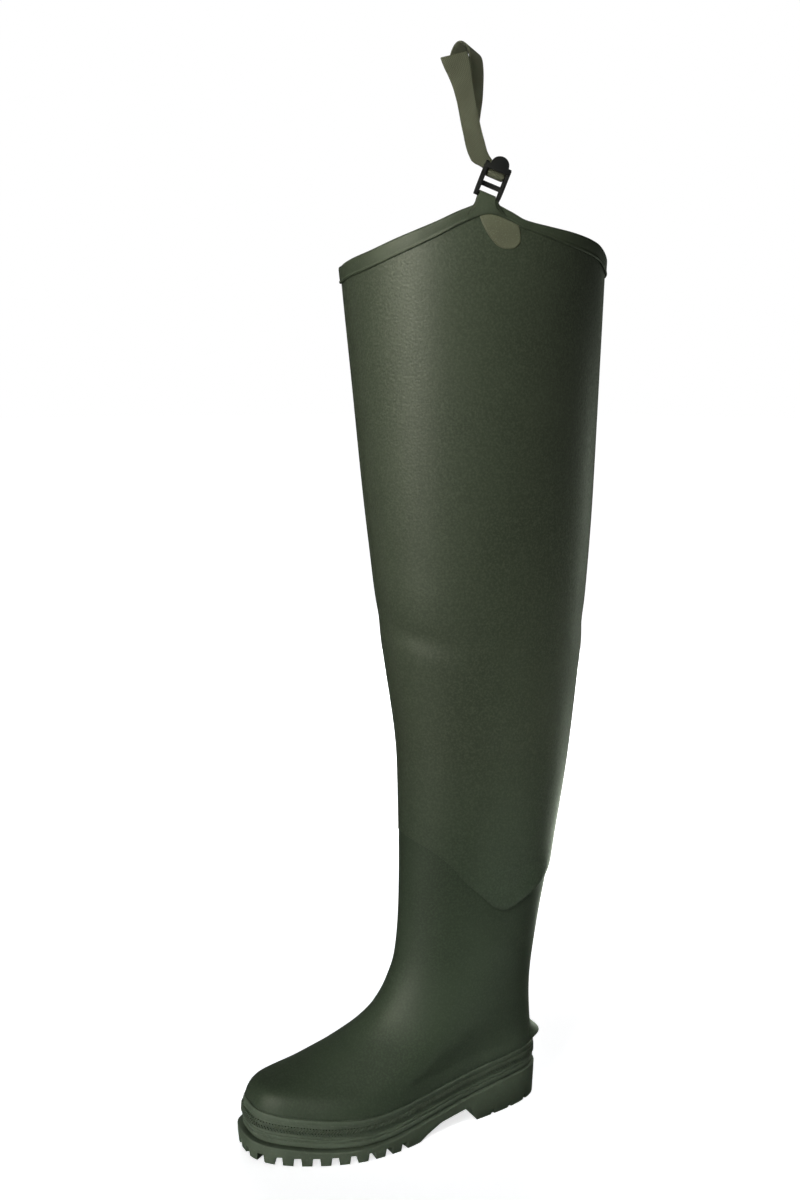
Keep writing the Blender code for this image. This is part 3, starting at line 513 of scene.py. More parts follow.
# Soft boxes give matt light and no shine, and small ones give shine alone, so that the sheet's gloss stays
# where it belongs. Columns: name, angle from the camera, distance, height above the floor, target, width,
# height, watts, spread, tint.
SOFT_LIGHTS = (
    ("key", -30.0, 1.6, 1.30, "thigh", 0.6, 0.6, 2.6, 60.0),
    ("toe_light", -38.0, 1.1, 0.08, "toe", 0.4, 0.2, 0.205, 28.0),
    ("strap_light", 62.0, 1.3, 1.20, "strap", 0.1, 0.1, 0.017, 9.0),
    ("pouch_light", 72.0, 0.6, 1.25, "hem", 0.15, 0.15, 0.060, 15.0),
    ("shin_fill", -30.0, 1.6, 0.35, "shin", 0.6, 0.6, 4.8, 180.0),
    ("low_fill", 90.0, 1.6, 0.25, "shin", 0.6, 0.6, 2.7, 180.0),
    ("far_fill", 178.0, 2.0, 0.25, "knee", 1.0, 1.2, 24.0, 180.0),
    ("back_fill", -165.0, 2.2, 0.90, "knee", 1.2, 1.6, 12.0, 180.0),
)
GLOSS_LIGHTS = (
    ("front_gloss", -30.0, 1.6, 0.75, "thigh", 0.35, 0.5, 3.4, 80.0, (1.0, 1.0, 0.82)),
    ("high_gloss", -50.0, 1.6, 1.20, "thigh", 0.35, 0.5, 3.0, 70.0, (1.0, 0.98, 0.76)),
    ("floor_gloss", 66.0, 0.42, 0.02, "shin", 0.40, 0.25, 0.35, 180.0, (0.88, 1.0, 0.84)),
    ("high_edge", 146.0, 1.6, 0.75, "thigh", 0.35, 0.5, 0.24, 180.0, (0.88, 1.0, 0.80)),
    ("knee_edge", 128.0, 1.6, 0.30, "knee", 0.35, 0.5, 1.7, 180.0, (0.88, 1.0, 0.80)),
    ("shaft_edge", 148.0, 0.6, 0.05, "shin", 0.30, 0.2, 0.80, 180.0, (0.88, 1.0, 0.80)),
    ("calf_edge", 126.0, 0.8, 0.04, "knee", 0.30, 0.3, 0.55, 180.0, (0.88, 1.0, 0.80)),
)
FLOOR_RADIUS = 9.0
FLOOR_SIDES = 96


def length(name, description, default, low):
    """Property for a length in metres."""
    return FloatProperty(name=name, description=description, default=default, min=low, unit="LENGTH")


class WaderSizes(bpy.types.PropertyGroup):
    """Sizes of the finished surfaces."""

    leg_wall: length("Leg Wall", "Thickness of the leg sheet", 0.0012, 0.0005)
    crease_share: FloatProperty(
        name="Crease Depth",
        description="Share of the creases' full depth",
        default=1.0,
        min=0.0,
        subtype="FACTOR",
    )
    rib_spacing: length("Rib Spacing", "Distance between the rand's ribs", 0.0029, 0.001)
    rib_arm: length("Rib Arm", "Length of one arm of a rib", 0.0046, 0.001)
    rib_width: length("Rib Width", "Width of one arm of a rib", 0.0011, 0.0002)
    rib_height: length("Rib Height", "Thickness of a rib", 0.0024, 0.0002)
    rib_slant: FloatProperty(
        name="Rib Slant",
        description="Slant of a rib's arms",
        default=math.radians(52.0),
        subtype="ANGLE",
    )


def colour(name, description, default):
    """Property for a colour."""
    return FloatVectorProperty(
        name=name, description=description, default=default, size=3, min=0.0, max=1.0, subtype="COLOR"
    )


class WaderColours(bpy.types.PropertyGroup):
    """Colours of the finished surfaces."""

    leg: colour("Leg", "Coated sheet of the leg", (0.062, 0.076, 0.047))
    # Darker colour of the lower leg: painted shade towards the hem, not a colour the sheet has.
    lower_leg_painted_shade: colour("Lower Leg", "Coated sheet where it is drawn over the boot", (0.043, 0.060, 0.036))
    boot: colour("Boot", "Moulded rubber of the boot", (0.039, 0.054, 0.032))
    sole: colour("Sole", "Rubber of the outsole and rand", (0.085, 0.108, 0.072))
    binding: colour("Binding", "Sheet of the binding and tongue", (0.064, 0.080, 0.048))
    patch: colour("Patch", "Sheet of the patches", (0.150, 0.158, 0.096))
    lining: colour("Lining", "Knitted lining inside", (0.014, 0.016, 0.015))
    footbed: colour("Footbed", "Felt of the footbed", (0.024, 0.025, 0.023))
    webbing: colour("Webbing", "Woven belt strap", (0.150, 0.158, 0.098))
    buckle: colour("Buckle", "Moulded plastic of the buckle", (0.008, 0.009, 0.009))
    floor: colour("Floor", "Studio floor", (0.86, 0.87, 0.89))


def colour_of(name):
    """One of the wader's colours, by its name."""
    return tuple(getattr(bpy.context.scene.wader_colours, name))


def curve_at(rows, column, at):
    """Values of one column of a table at places in its first column, on a curve that never overshoots."""
    keys = np.array([row[0] for row in rows], float)
    values = np.array([row[column] for row in rows], float)
    at = np.clip(np.asarray(at, float), keys[0], keys[-1])
    spans = np.diff(keys)
    slopes = np.diff(values) / spans
    tangents = np.empty(len(keys))
    tangents[0] = slopes[0]
    tangents[-1] = slopes[-1]
    product = slopes[:-1] * slopes[1:]
    total = slopes[:-1] + slopes[1:]
    rising = product > 0.0
    tangents[1:-1] = np.where(rising, 2.0 * product / np.where(rising, total, 1.0), 0.0)
    i = np.clip(np.searchsorted(keys, at) - 1, 0, len(keys) - 2)
    s = (at - keys[i]) / spans[i]
    start = (1 + 2 * s) * (1 - s) ** 2 * values[i] + s * (1 - s) ** 2 * spans[i] * tangents[i]
    end = s * s * (3 - 2 * s) * values[i + 1] + s * s * (s - 1) * spans[i] * tangents[i + 1]
    return start + end


def straight_at(rows, at):
    """Heights of a two-column table at places, in straight runs."""
    return np.interp(at, [row[0] for row in rows], [row[1] for row in rows])


def eased(value):
    """Smooth step from 0 to 1."""
    value = np.clip(value, 0.0, 1.0)
    return value * value * (3.0 - 2.0 * value)


def station_of(turn):
    """Share of the way from the toe to the heel."""
    return (1.0 - np.cos(turn)) / 2.0


def shell(turn, level):
    """Points on the outside of the boot and leg: turn 0 is the front, a quarter turn the outer side."""
    turn, level = np.broadcast_arrays(np.asarray(turn, float), np.asarray(level, float))
    columns = [curve_at(SHELL, c, level) for c in range(1, SHELL_COLUMNS)]
    front_y, front_z, back_y, medial, lateral, fullness, foot = columns
    station = station_of(turn)
    y = front_y + (back_y - front_y) * station
    outer = np.sin(turn) >= 0.0
    plan = np.where(outer, curve_at(FOOT_PLAN, 2, station), curve_at(FOOT_PLAN, 1, station))
    half = foot * plan + (1.0 - foot) * np.where(outer, lateral, medial)
    across = np.abs(np.sin(turn)) ** fullness * half
    x = np.where(outer, across, -across) - TOE_SWING * foot * (1.0 - station) ** 2
    feather = FEATHER_FRONT_Z + (FEATHER_LEVEL - FEATHER_FRONT_Z) * station
    z = front_z + (level - front_z) * station + foot * (curve_at(SOLE_TOP, 1, y) - feather)
    return np.stack((x, y, z), axis=-1)


def shell_normal(turn, level):
    """Outward directions square to the shell."""
    nudge_turn, nudge_level = 0.02, 0.0006
    turn, level = np.asarray(turn, float), np.asarray(level, float)
    around = shell(turn + nudge_turn, level) - shell(turn - nudge_turn, level)
    upward = shell(turn, level + nudge_level) - shell(turn, level - nudge_level)
    normal = np.cross(around, upward)
    return normal / np.linalg.norm(normal, axis=-1, keepdims=True)


def on_shell(turn, level, out):
    """Points that stand out from the shell, square to it."""
    return shell(turn, level) + shell_normal(turn, level) * np.asarray(out, float)[..., None]


def feather_point(turn, out):
    """Points out from the foot of the boot wall, level with the floor."""
    normal = shell_normal(turn, FEATHER_LEVEL)
    normal[..., 2] = 0.0
    normal /= np.linalg.norm(normal, axis=-1, keepdims=True)
    return shell(turn, FEATHER_LEVEL) + normal * np.asarray(out, float)[..., None]


def sole_edge(turn, out):
    """Points on the side of the outsole, which stands out further towards the toe."""
    return feather_point(turn, out + SOLE_TOE_EXTRA * (1.0 - station_of(turn)) ** 2)


def turn_at(y):
    """Turn on the outer side where the foot's outline passes a place along it."""
    return np.arccos(1.0 - 2.0 * (np.asarray(y) - FOOT_FRONT_Y) / (FOOT_BACK_Y - FOOT_FRONT_Y))


def sole_turns(stations):
    """Turns from toe to heel along one side, with stations at both edges of the heel breast."""
    return np.sort(np.concatenate((np.linspace(0.0, math.pi, stations + 1), turn_at(HEEL_BREAST_Y))))


def frame_shift():
    """Way from the foot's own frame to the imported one: the outsole's outline is set on its packed box."""
    low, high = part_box("outsole")
    outline = sole_edge(sole_turns(SOLID_STATIONS), SOLE_LIP_OUT)
    return np.array((high[0] - outline[:, 0].max(), low[1] - outline[:, 1].min(), 0.0))


FOOT_SHIFT = frame_shift()


def ring_turns(count):
    """Turns all around the leg, evenly spaced."""
    return np.arange(count) * 2.0 * math.pi / count


def lengths_along(points):
    """Length walked along a line of points, at each of them."""
    return np.concatenate(([0.0], np.cumsum(np.linalg.norm(np.diff(points, axis=0), axis=1))))


def even_turns(count):
    """Turns spaced evenly along the outline of the foot."""
    dense = np.linspace(0.0, 2.0 * math.pi, OUTLINE_STEPS + 1)
    walked = lengths_along(shell(dense, OUTLINE_LEVEL))
    return np.interp(np.arange(count) / count * walked[-1], walked, dense)


def leg_edge(column, turn):
    """Height of the hem or rim, or of the band, at turns around the leg."""
    return curve_at(LEG_EDGE, column, np.degrees(turn) % 360.0)


def band_edge(turn):
    """Height just below the binding on the outside of the leg."""
    return leg_edge(RIM, turn) - leg_edge(BAND, turn) - GAP


def rand_level(share):
    """Level at a share of the rand's height."""
    return RAND_LOW + (RAND_HIGH - RAND_LOW) * share


def angle_about(turn, middle):
    """Degrees around the leg, running on through the back where a row does."""
    return (np.degrees(turn) - middle + 180.0) % 360.0 - 180.0 + middle


def soft_relief(forms, turn, level):
    """How far soft troughs and ridges stand out."""
    relief = np.zeros(np.broadcast(turn, level).shape)
    for half_height, rows in forms:
        angle = angle_about(turn, (rows[0][0] + rows[-1][0]) / 2.0)
        away = (level - curve_at(rows, 1, angle)) / half_height
        relief = relief - curve_at(rows, 2, angle) * np.exp(-(away**2))
    return relief


def leg_relief(turn, level, share):
    """How far the leg's sheet stands out from its plain form: creases, swells and the pouched hem."""
    relief = soft_relief(CREASES, turn, level)
    for middle, half_angle, out, height in HEM_POUCHES:
        away = (angle_about(turn, middle) - middle) / half_angle
        rise = np.maximum(level - leg_edge(HEM, turn), 0.0) / height + HEM_EDGE_RISE
        relief = relief + out * np.exp(-(away**2)) * rise * np.exp(1.0 - rise)
    calm = eased((leg_edge(RIM, turn) - level) / CREASE_FREE_BELOW_RIM)
    return relief * calm * share


def loft(grid, rows_closed, columns_closed):
    """Points and four-sided faces of a grid of points."""
    rows, columns = grid.shape[:2]
    r = np.arange(rows if rows_closed else rows - 1)
    c = np.arange(columns if columns_closed else columns - 1)
    r, c = np.meshgrid(r, c, indexing="ij")
    r_next, c_next = (r + 1) % rows, (c + 1) % columns
    corners = (r * columns + c, r * columns + c_next, r_next * columns + c_next, r_next * columns + c)
    return grid.reshape(-1, 3), np.stack(corners, axis=-1).reshape(-1, 4).tolist()


def capped(grid):
    """Points and faces of a grid whose columns are closed, with its first and last row closed by a face."""
    points, faces = loft(grid, False, True)
    rows, columns = grid.shape[:2]
    last = (rows - 1) * columns
    return points, faces + [list(range(columns))[::-1], list(range(last, last + columns))]


def plate(top, under):
    """Points and faces of a thin plate between two open grids."""
    points, faces = loft(top, False, False)
    under_points, under_faces = loft(under, False, False)
    count = len(points)
    faces += [[i + count for i in face][::-1] for face in under_faces]
    rows, columns = top.shape[:2]
    border = [(0, c) for c in range(columns - 1)]
    border += [(r, columns - 1) for r in range(rows - 1)]
    border += [(rows - 1, c) for c in range(columns - 1, 0, -1)]
    border += [(r, 0) for r in range(rows - 1, 0, -1)]
    edge = [r * columns + c for r, c in border]
    for first, second in zip(edge, edge[1:] + edge[:1]):
        faces.append([second, first, first + count, second + count])
    return np.concatenate((points, under_points)), faces


def make_mesh(name, points, faces, merge=None):
    """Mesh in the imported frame, with its faces turned outward."""
    mesh = bpy.data.meshes.new(name)
    mesh.from_pydata((np.asarray(points) + FOOT_SHIFT).tolist(), [], faces)
    body = bmesh.new()
    body.from_mesh(mesh)
    if merge is not None:
        bmesh.ops.remove_doubles(body, verts=body.verts, dist=merge)
        bmesh.ops.dissolve_degenerate(body, edges=body.edges, dist=merge)
        bmesh.ops.recalc_face_normals(body, faces=body.faces)
    if body.calc_volume(signed=True) < 0.0:
        bmesh.ops.reverse_faces(body, faces=body.faces)
    body.to_mesh(mesh)
    body.free()
    return mesh


def add_object(mesh, *finishes):
    made = bpy.data.objects.new(mesh.name, mesh)
    bpy.context.scene.collection.objects.link(made)
    for finish in finishes:
        mesh.materials.append(finish)
    return made


def combine(item, other, operation):
    """Cut another object from an item or add it, once the item is settled."""
    boolean = item.modifiers.new(other.name, "BOOLEAN")
    boolean.operation = operation
    boolean.solver = "EXACT"
    boolean.object = other


def round_edges(item, width, segments, angle):
    """Round the edges that are sharper than an angle in degrees, once the item is settled."""
    bevel = item.modifiers.new("rounded", "BEVEL")
    bevel.width = width
    bevel.segments = segments
    bevel.limit_method = "ANGLE"
    bevel.angle_limit = math.radians(angle)
    bevel.use_clamp_overlap = True


def settle(item):
    """Replace an object's mesh by what its modifiers make of it, and remove them."""
    graph = bpy.context.evaluated_depsgraph_get()
    plain = bpy.data.meshes.new_from_object(item.evaluated_get(graph), depsgraph=graph)
    item.modifiers.clear()
    item.data = plain
    plain.name = item.name


def soften(mesh, angle):
    """Smooth shading, broken at edges sharper than an angle in degrees."""
    mesh.shade_smooth()
    mesh.set_sharp_from_angle(angle=math.radians(angle))


def line_rows(mesh, columns, first, last):
    """Give a mesh's second finish to its rows of faces from one up to another."""
    for face in mesh.polygons:
        face.material_index = int(first <= face.index // columns < last)


def dress(piece, node=None):
    """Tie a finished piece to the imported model."""
    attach(piece, "root")
    if node is not None:
        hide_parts(node)


def add_piece(mesh, finishes, node, angle):
    """Finished piece from its mesh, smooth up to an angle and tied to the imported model."""
    piece = add_object(mesh, *finishes)
    soften(mesh, angle)
    dress(piece, node)


class Nodes:
    """Short calls that make and join the nodes of one tree."""

    def __init__(self, tree):
        self.tree = tree
        self.join = tree.links.new

    def node(self, kind, **settings):
        made = self.tree.nodes.new(kind)
        for key, value in settings.items():
            setattr(made, key, value)
        return made

    def filled(self, kind, entry, source, values, **settings):
        """Outputs of a node that has one source joined to it and its other sockets set."""
        made = self.node(kind, **settings)
        for key, value in values.items():
            made.inputs[key].default_value = value
        self.join(source, made.inputs[entry])
        return made.outputs

    def maths(self, operation, first, second=0.0):
        """Result of a sum; either side may be a number or a socket."""
        made = self.node("ShaderNodeMath", operation=operation)
        for socket, value in zip(made.inputs, (first, second)):
            if isinstance(value, float):
                socket.default_value = value
            else:
                self.join(value, socket)
        return made.outputs["Value"]


class Finish(Nodes):
    """Node tree of one material, with short calls for the patterns that the finishes share."""

    def __init__(self, name):
        self.material = bpy.data.materials.get(name) or bpy.data.materials.new(name)
        self.material.use_nodes = True
        super().__init__(self.material.node_tree)
        self.tree.nodes.clear()
        self.surface = self.node("ShaderNodeBsdfPrincipled")
        output = self.node("ShaderNodeOutputMaterial")
        self.join(self.surface.outputs["BSDF"], output.inputs["Surface"])
        self.place = self.node("ShaderNodeTexCoord").outputs["Object"]

    def put(self, socket, value):
        """Set one socket of the surface, the same all over it."""
        self.surface.inputs[socket].default_value = value

    def split(self, place):
        return self.filled("ShaderNodeSeparateXYZ", "Vector", place, {})

    def stretched(self, place, scale):
        return self.filled("ShaderNodeMapping", "Vector", place, {"Scale": scale})["Vector"]

    def noise(self, size, detail=2.0, roughness=0.5, place=None):
        """Noise whose spots are about one size across, in metres."""
        values = {"Scale": 1.0 / size, "Detail": detail, "Roughness": roughness}
        return self.filled("ShaderNodeTexNoise", "Vector", place or self.place, values)["Fac"]

    def pebbles(self, size):
        """Soft cells of about one size, in metres."""
        values = {"Scale": 1.0 / size}
        made = self.filled("ShaderNodeTexVoronoi", "Vector", self.place, values, feature="SMOOTH_F1")
        return made["Distance"]

    def ranged(self, source, low, high, to_low=0.0, to_high=1.0):
        """Values from one range spread over another."""
        values = {"From Min": low, "From Max": high, "To Min": to_low, "To Max": to_high}
        return self.filled("ShaderNodeMapRange", "Value", source, values)["Result"]

    def spots(self, low, high, size, detail=2.0, roughness=0.5):
        """Noise with the range between two of its values spread over 0 to 1."""
        return self.ranged(self.noise(size, detail, roughness), low, high)

    def mixed(self, factor, first, second):
        """Colour between two others; either may be a colour or a socket."""
        made = self.node("ShaderNodeMix", data_type="RGBA")
        self.join(factor, made.inputs["Factor"])
        for key, value in (("A", first), ("B", second)):
            socket = next(s for s in made.inputs if s.name == key and s.type == "RGBA")
            if isinstance(value, tuple):
                socket.default_value = (*value, 1.0)
            else:
                self.join(value, socket)
        return next(s for s in made.outputs if s.type == "RGBA")

    def shaded(self, factor, base, dark, light):
        """Colour between a darker and a lighter tone of a base."""
        return self.mixed(factor, tone(base, dark), tone(base, light))

    def colour(self, source):
        self.join(source, self.surface.inputs["Base Color"])

    def roughness(self, source, to_low, to_high, low=NOISE_LOW, high=NOISE_HIGH):
        self.join(self.ranged(source, low, high, to_low, to_high), self.surface.inputs["Roughness"])

    def bump(self, *layers):
        """Bumps laid over each other. Each layer is a height, its depth in metres and its strength."""
        normal = None
        for height, depth, strength in layers:
            made = self.node("ShaderNodeBump")
            made.inputs["Distance"].default_value = depth
            made.inputs["Strength"].default_value = strength
            self.join(height, made.inputs["Height"])
            if normal is not None:
                self.join(normal, made.inputs["Normal"])
            normal = made.outputs["Normal"]
        self.join(normal, self.surface.inputs["Normal"])


def tone(base, share):
    """A colour darker or lighter by a share."""
    return tuple(min(channel * share, 1.0) for channel in base)


def leg_sheet_finish(base, low):
    """Coated sheet: darker towards the hem with painted shade, with a pebble grain and a satin surface."""
    finish = Finish("leg_sheet")
    # Below the fade the sheet takes the lower leg's darker colour, painted shade towards the hem.
    risen = finish.ranged(finish.split(finish.place)["Z"], *LOWER_LEG_SHADE_FADE)
    dark, plain, light = (finish.mixed(risen, tone(low, s), tone(base, s)) for s in (0.86, 1.04, 1.36))
    broad = finish.spots(0.35, 0.65, 0.090, 3.0)
    speck = finish.spots(0.42, 0.66, 0.0019, 2.0, 0.6)
    finish.colour(finish.mixed(speck, finish.mixed(broad, dark, plain), light))
    finish.roughness(finish.noise(0.0030), 0.42, 0.54)
    finish.bump((finish.pebbles(0.0021), 0.00026, 0.60), (finish.noise(0.0008), 0.00010, 0.45))
    finish.put("Specular IOR Level", 0.30)
    return finish.material


def boot_rubber_finish(base):
    """Moulded rubber: smooth, dark green, with a faint bloom."""
    finish = Finish("boot_rubber")
    cloudy = finish.shaded(finish.spots(0.35, 0.70, 0.055, 4.0, 0.55), base, 0.86, 1.06)
    dust = finish.spots(0.44, 0.68, 0.0019, 2.0, 0.6)
    finish.colour(finish.mixed(dust, cloudy, tone(base, 1.34)))
    finish.roughness(finish.noise(0.030, 3.0), 0.50, 0.60)
    finish.bump((finish.noise(0.0011), 0.00010, 0.30), (finish.noise(0.012), 0.00045, 0.20))
    finish.put("Specular IOR Level", 0.32)
    return finish.material


def sole_rubber_finish(base):
    """Harder rubber of the outsole and rand: greyer, with a matt grain and rubbed spots."""
    finish = Finish("sole_rubber")
    cloudy = finish.shaded(finish.spots(0.35, 0.70, 0.040, 4.0, 0.6), base, 0.88, 1.16)
    rubbed = finish.spots(0.56, 0.74, 0.0030, 3.0, 0.65)
    finish.colour(finish.mixed(rubbed, cloudy, tone(base, 1.38)))
    finish.roughness(finish.noise(0.012, 3.0), 0.54, 0.68)
    finish.bump((finish.noise(0.0010), 0.00012, 0.35), (finish.noise(0.0060), 0.00025, 0.20))
    finish.put("Specular IOR Level", 0.30)
    return finish.material


def binding_finish(name, base):
    """Smooth coated sheet of the binding, tongue and patches."""
    finish = Finish(name)
    cloudy = finish.shaded(finish.spots(0.35, 0.65, 0.030, 3.0), base, 0.90, 1.12)
    speck = finish.spots(0.52, 0.72, 0.0011, 2.0, 0.6)
    finish.colour(finish.mixed(speck, cloudy, tone(base, 1.30)))
    finish.roughness(finish.noise(0.010), 0.48, 0.60)
    finish.bump((finish.noise(0.0009), 0.00010, 0.30), (finish.noise(0.007), 0.00030, 0.18))
    finish.put("Specular IOR Level", 0.30)
    return finish.material


def lining_finish(base):
    """Knitted lining inside the leg and boot."""
    finish = Finish("lining")
    columns = finish.noise(0.0011, 1.0, 0.5, finish.stretched(finish.place, (1.0, 1.0, 0.45)))
    finish.colour(finish.shaded(finish.ranged(columns, 0.4, 0.65), base, 0.75, 1.5))
    finish.roughness(columns, 0.80, 0.95)
    finish.bump((columns, 0.0002, 0.5))
    finish.put("Sheen Weight", 0.10)
    finish.put("Specular IOR Level", 0.10)
    return finish.material


def footbed_finish(base):
    """Felted footbed."""
    finish = Finish("footbed")
    fibre = finish.noise(0.0009, 4.0, 0.7)
    finish.colour(finish.shaded(finish.ranged(fibre, 0.35, 0.7), base, 0.7, 1.6))
    finish.roughness(fibre, 0.82, 0.97)
    finish.bump((fibre, 0.0005, 0.7))
    finish.put("Sheen Weight", 0.25)
    return finish.material


def webbing_finish(base):
    """Woven webbing: a fine diagonal weave that runs along the strap, with painted shade darkening the
    hollows of the weave.
    """
    finish = Finish("webbing")
    spot = finish.split(finish.node("ShaderNodeUVMap", uv_map="weave").outputs["UV"])
    warp = finish.maths("SINE", finish.maths("MULTIPLY", spot["X"], 2.0 * math.pi / WEAVE_THREAD))
    picks = finish.maths("MULTIPLY", spot["Y"], 1.0 / WEAVE_PICK)
    slant = finish.maths("ADD", picks, finish.maths("MULTIPLY", spot["X"], 0.5 / WEAVE_THREAD))
    weft = finish.maths("SINE", finish.maths("MULTIPLY", slant, 2.0 * math.pi))
    height = finish.ranged(finish.maths("ADD", warp, weft), -2.0, 2.0)
    cloudy = finish.shaded(finish.spots(0.35, 0.7, 0.012, 3.0), base, 0.88, 1.15)
    # Painted shade: the weave's hollows are darkened, and its crowns keep the webbing's colour.
    finish.colour(finish.mixed(height, tone(base, 0.55), cloudy))
    finish.roughness(height, 0.90, 0.72, 0.0, 1.0)
    finish.bump((height, 0.00014, 0.45), (finish.noise(0.0005), 0.00005, 0.3))
    finish.put("Sheen Weight", 0.10)
    finish.put("Specular IOR Level", 0.15)
    return finish.material


def buckle_finish(base):
    """Moulded black plastic with a faint spark-eroded grain."""
    finish = Finish("buckle_plastic")
    finish.colour(finish.shaded(finish.spots(0.35, 0.65, 0.008, 3.0), base, 0.85, 1.25))
    finish.roughness(finish.noise(0.002), 0.46, 0.60)
    finish.bump((finish.noise(0.0005), 0.00006, 0.35))
    return finish.material


def floor_finish(base):
    """Pale floor that glows to plain white away from the wader, so that no horizon shows; its glow is dimmer
    near the wader, painted shadow around and under it.
    """
    finish = Finish("studio_floor")
    finish.put("Base Color", (*base, 1.0))
    finish.put("Roughness", 0.9)
    finish.put("Specular IOR Level", 0.0)
    finish.put("Emission Color", (1.0, 1.0, 1.0, 1.0))
    away = finish.node("ShaderNodeVectorMath", operation="LENGTH")
    finish.join(finish.stretched(finish.place, (1.0, 0.7, 0.0)), away.inputs[0])
    # Weaker glow near the wader: painted shadow on the floor around and under it.
    glow = finish.ranged(away.outputs["Value"], 0.10, 0.45, 0.72, 1.05)
    finish.join(glow, finish.surface.inputs["Emission Strength"])
    return finish.material


class WADER_OT_boot(bpy.types.Operator):
    """Build the moulded boot: one wall from the sole to the calf, lined inside"""

    bl_idname = "wader.boot"
    bl_label = "Boot"

    def execute(self, context):
        turn = even_turns(BOOT_AROUND)[None, :]
        foot = np.linspace(FEATHER_LEVEL, BOOT_FOOT_TOP, BOOT_FOOT_ROWS)
        vamp = np.linspace(VAMP_FOOT, VAMP_TOP, VAMP_ROWS)
        shaft = np.linspace(VAMP_TOP, BOOT_TOP, SHAFT_ROWS)[1:]
        level = np.concatenate((foot, BOOT_GROOVE_LEVELS, vamp, shaft))[:, None]
        swell = curve_at(SWELL_LEVELS, 1, level) * curve_at(SWELL_TURNS, 1, np.abs(angle_about(turn, 0.0)))
        outer = on_shell(turn, level, swell + soft_relief(BOOT_FORMS, turn, level))
        inner = on_shell(turn, level, -BOOT_WALL)
        inner[0] = feather_point(turn[0], -BOOT_WALL)
        outer[0, :, 2] += GAP
        inner[0, :, 2] = outer[0, :, 2]
        mesh = make_mesh("boot_wall", *loft(np.concatenate((outer, inner[::-1])), True, True))
        finishes = (boot_rubber_finish(colour_of("boot")), lining_finish(colour_of("lining")))
        add_piece(mesh, finishes, "upper", angle=50.0)
        line_rows(mesh, BOOT_AROUND, len(level), 2 * len(level))
        return {"FINISHED"}


def groove_block(place, inward, reach, floor_width, root_width, root_z):
    """Corners of one tapered groove cutter that enters the sole at a place on its edge."""
    side = np.array((-inward[1], inward[0]))
    start = place - inward * GROOVE_OVERSHOOT
    end = place + inward * reach
    corners = []
    for z, width in ((-GROOVE_BELOW_FLOOR, floor_width), (root_z, root_width)):
        for base, sign in ((start, -1), (start, 1), (end, 1), (end, -1)):
            spot = base + side * (sign * width / 2.0)
            corners.append((spot[0], spot[1], z))
    return corners


BLOCK_FACES = ((0, 1, 2, 3), (4, 7, 6, 5), (0, 4, 5, 1), (1, 5, 6, 2), (2, 6, 7, 3), (3, 7, 4, 0))


def edge_walk(side, spacing, first, last_y):
    """Turns along one side of the sole from the toe, spaced by length along its edge."""
    turn = side * math.pi * np.arange(EDGE_WALK_STEPS) / EDGE_WALK_STEPS
    edge = sole_edge(turn, SOLE_FOOT_OUT)
    walked = lengths_along(edge[:, :2])
    end = walked[np.argmax(edge[:, 1] > last_y)]
    return np.interp(np.arange(first, end, spacing), walked, side * turn) * side


def edge_groove(turn, floor_width, root_width, depth, reach):
    """Corners of one groove cutter that enters the sole square to its edge."""
    place = sole_edge(turn, SOLE_FOOT_OUT)
    normal = shell_normal(turn, FEATHER_LEVEL)[:2]
    inward = -normal / np.linalg.norm(normal)
    root_z = straight_at(SOLE_UNDER, place[1]) + depth
    return groove_block(place[:2], inward, reach, floor_width, root_width, root_z)


def groove_blocks():
    """All the tread's groove cutters: round the forefoot, round the heel, and across the ball."""
    lug_groove = (GROOVE_FLOOR, GROOVE_ROOT, GROOVE_DEPTH, GROOVE_REACH)
    heel_groove = (HEEL_GROOVE_FLOOR, HEEL_GROOVE_ROOT, HEEL_GROOVE_DEPTH, HEEL_GROOVE_REACH)
    blocks = [edge_groove(math.pi, *heel_groove)]
    for side in (1.0, -1.0):
        for turn in edge_walk(side, LUG_PITCH, LUG_PITCH / 2.0, LUG_LAST_Y):
            blocks.append(edge_groove(turn, *lug_groove))
        for turn in turn_at(HEEL_GROOVE_Y):
            blocks.append(edge_groove(side * turn, *heel_groove))
    for y in BAR_GROOVE_Y:
        left, right = (feather_point(side * turn_at(y), 0.0)[0] * BAR_GROOVE_SHARE for side in (-1.0, 1.0))
        place = np.array((left + GROOVE_OVERSHOOT, y))
        root_z = straight_at(SOLE_UNDER, y) + BAR_GROOVE_DEPTH
        reach = right - left - GROOVE_OVERSHOOT
        blocks.append(groove_block(place, np.array((1.0, 0.0)), reach, GROOVE_FLOOR, GROOVE_ROOT, root_z))
    return blocks


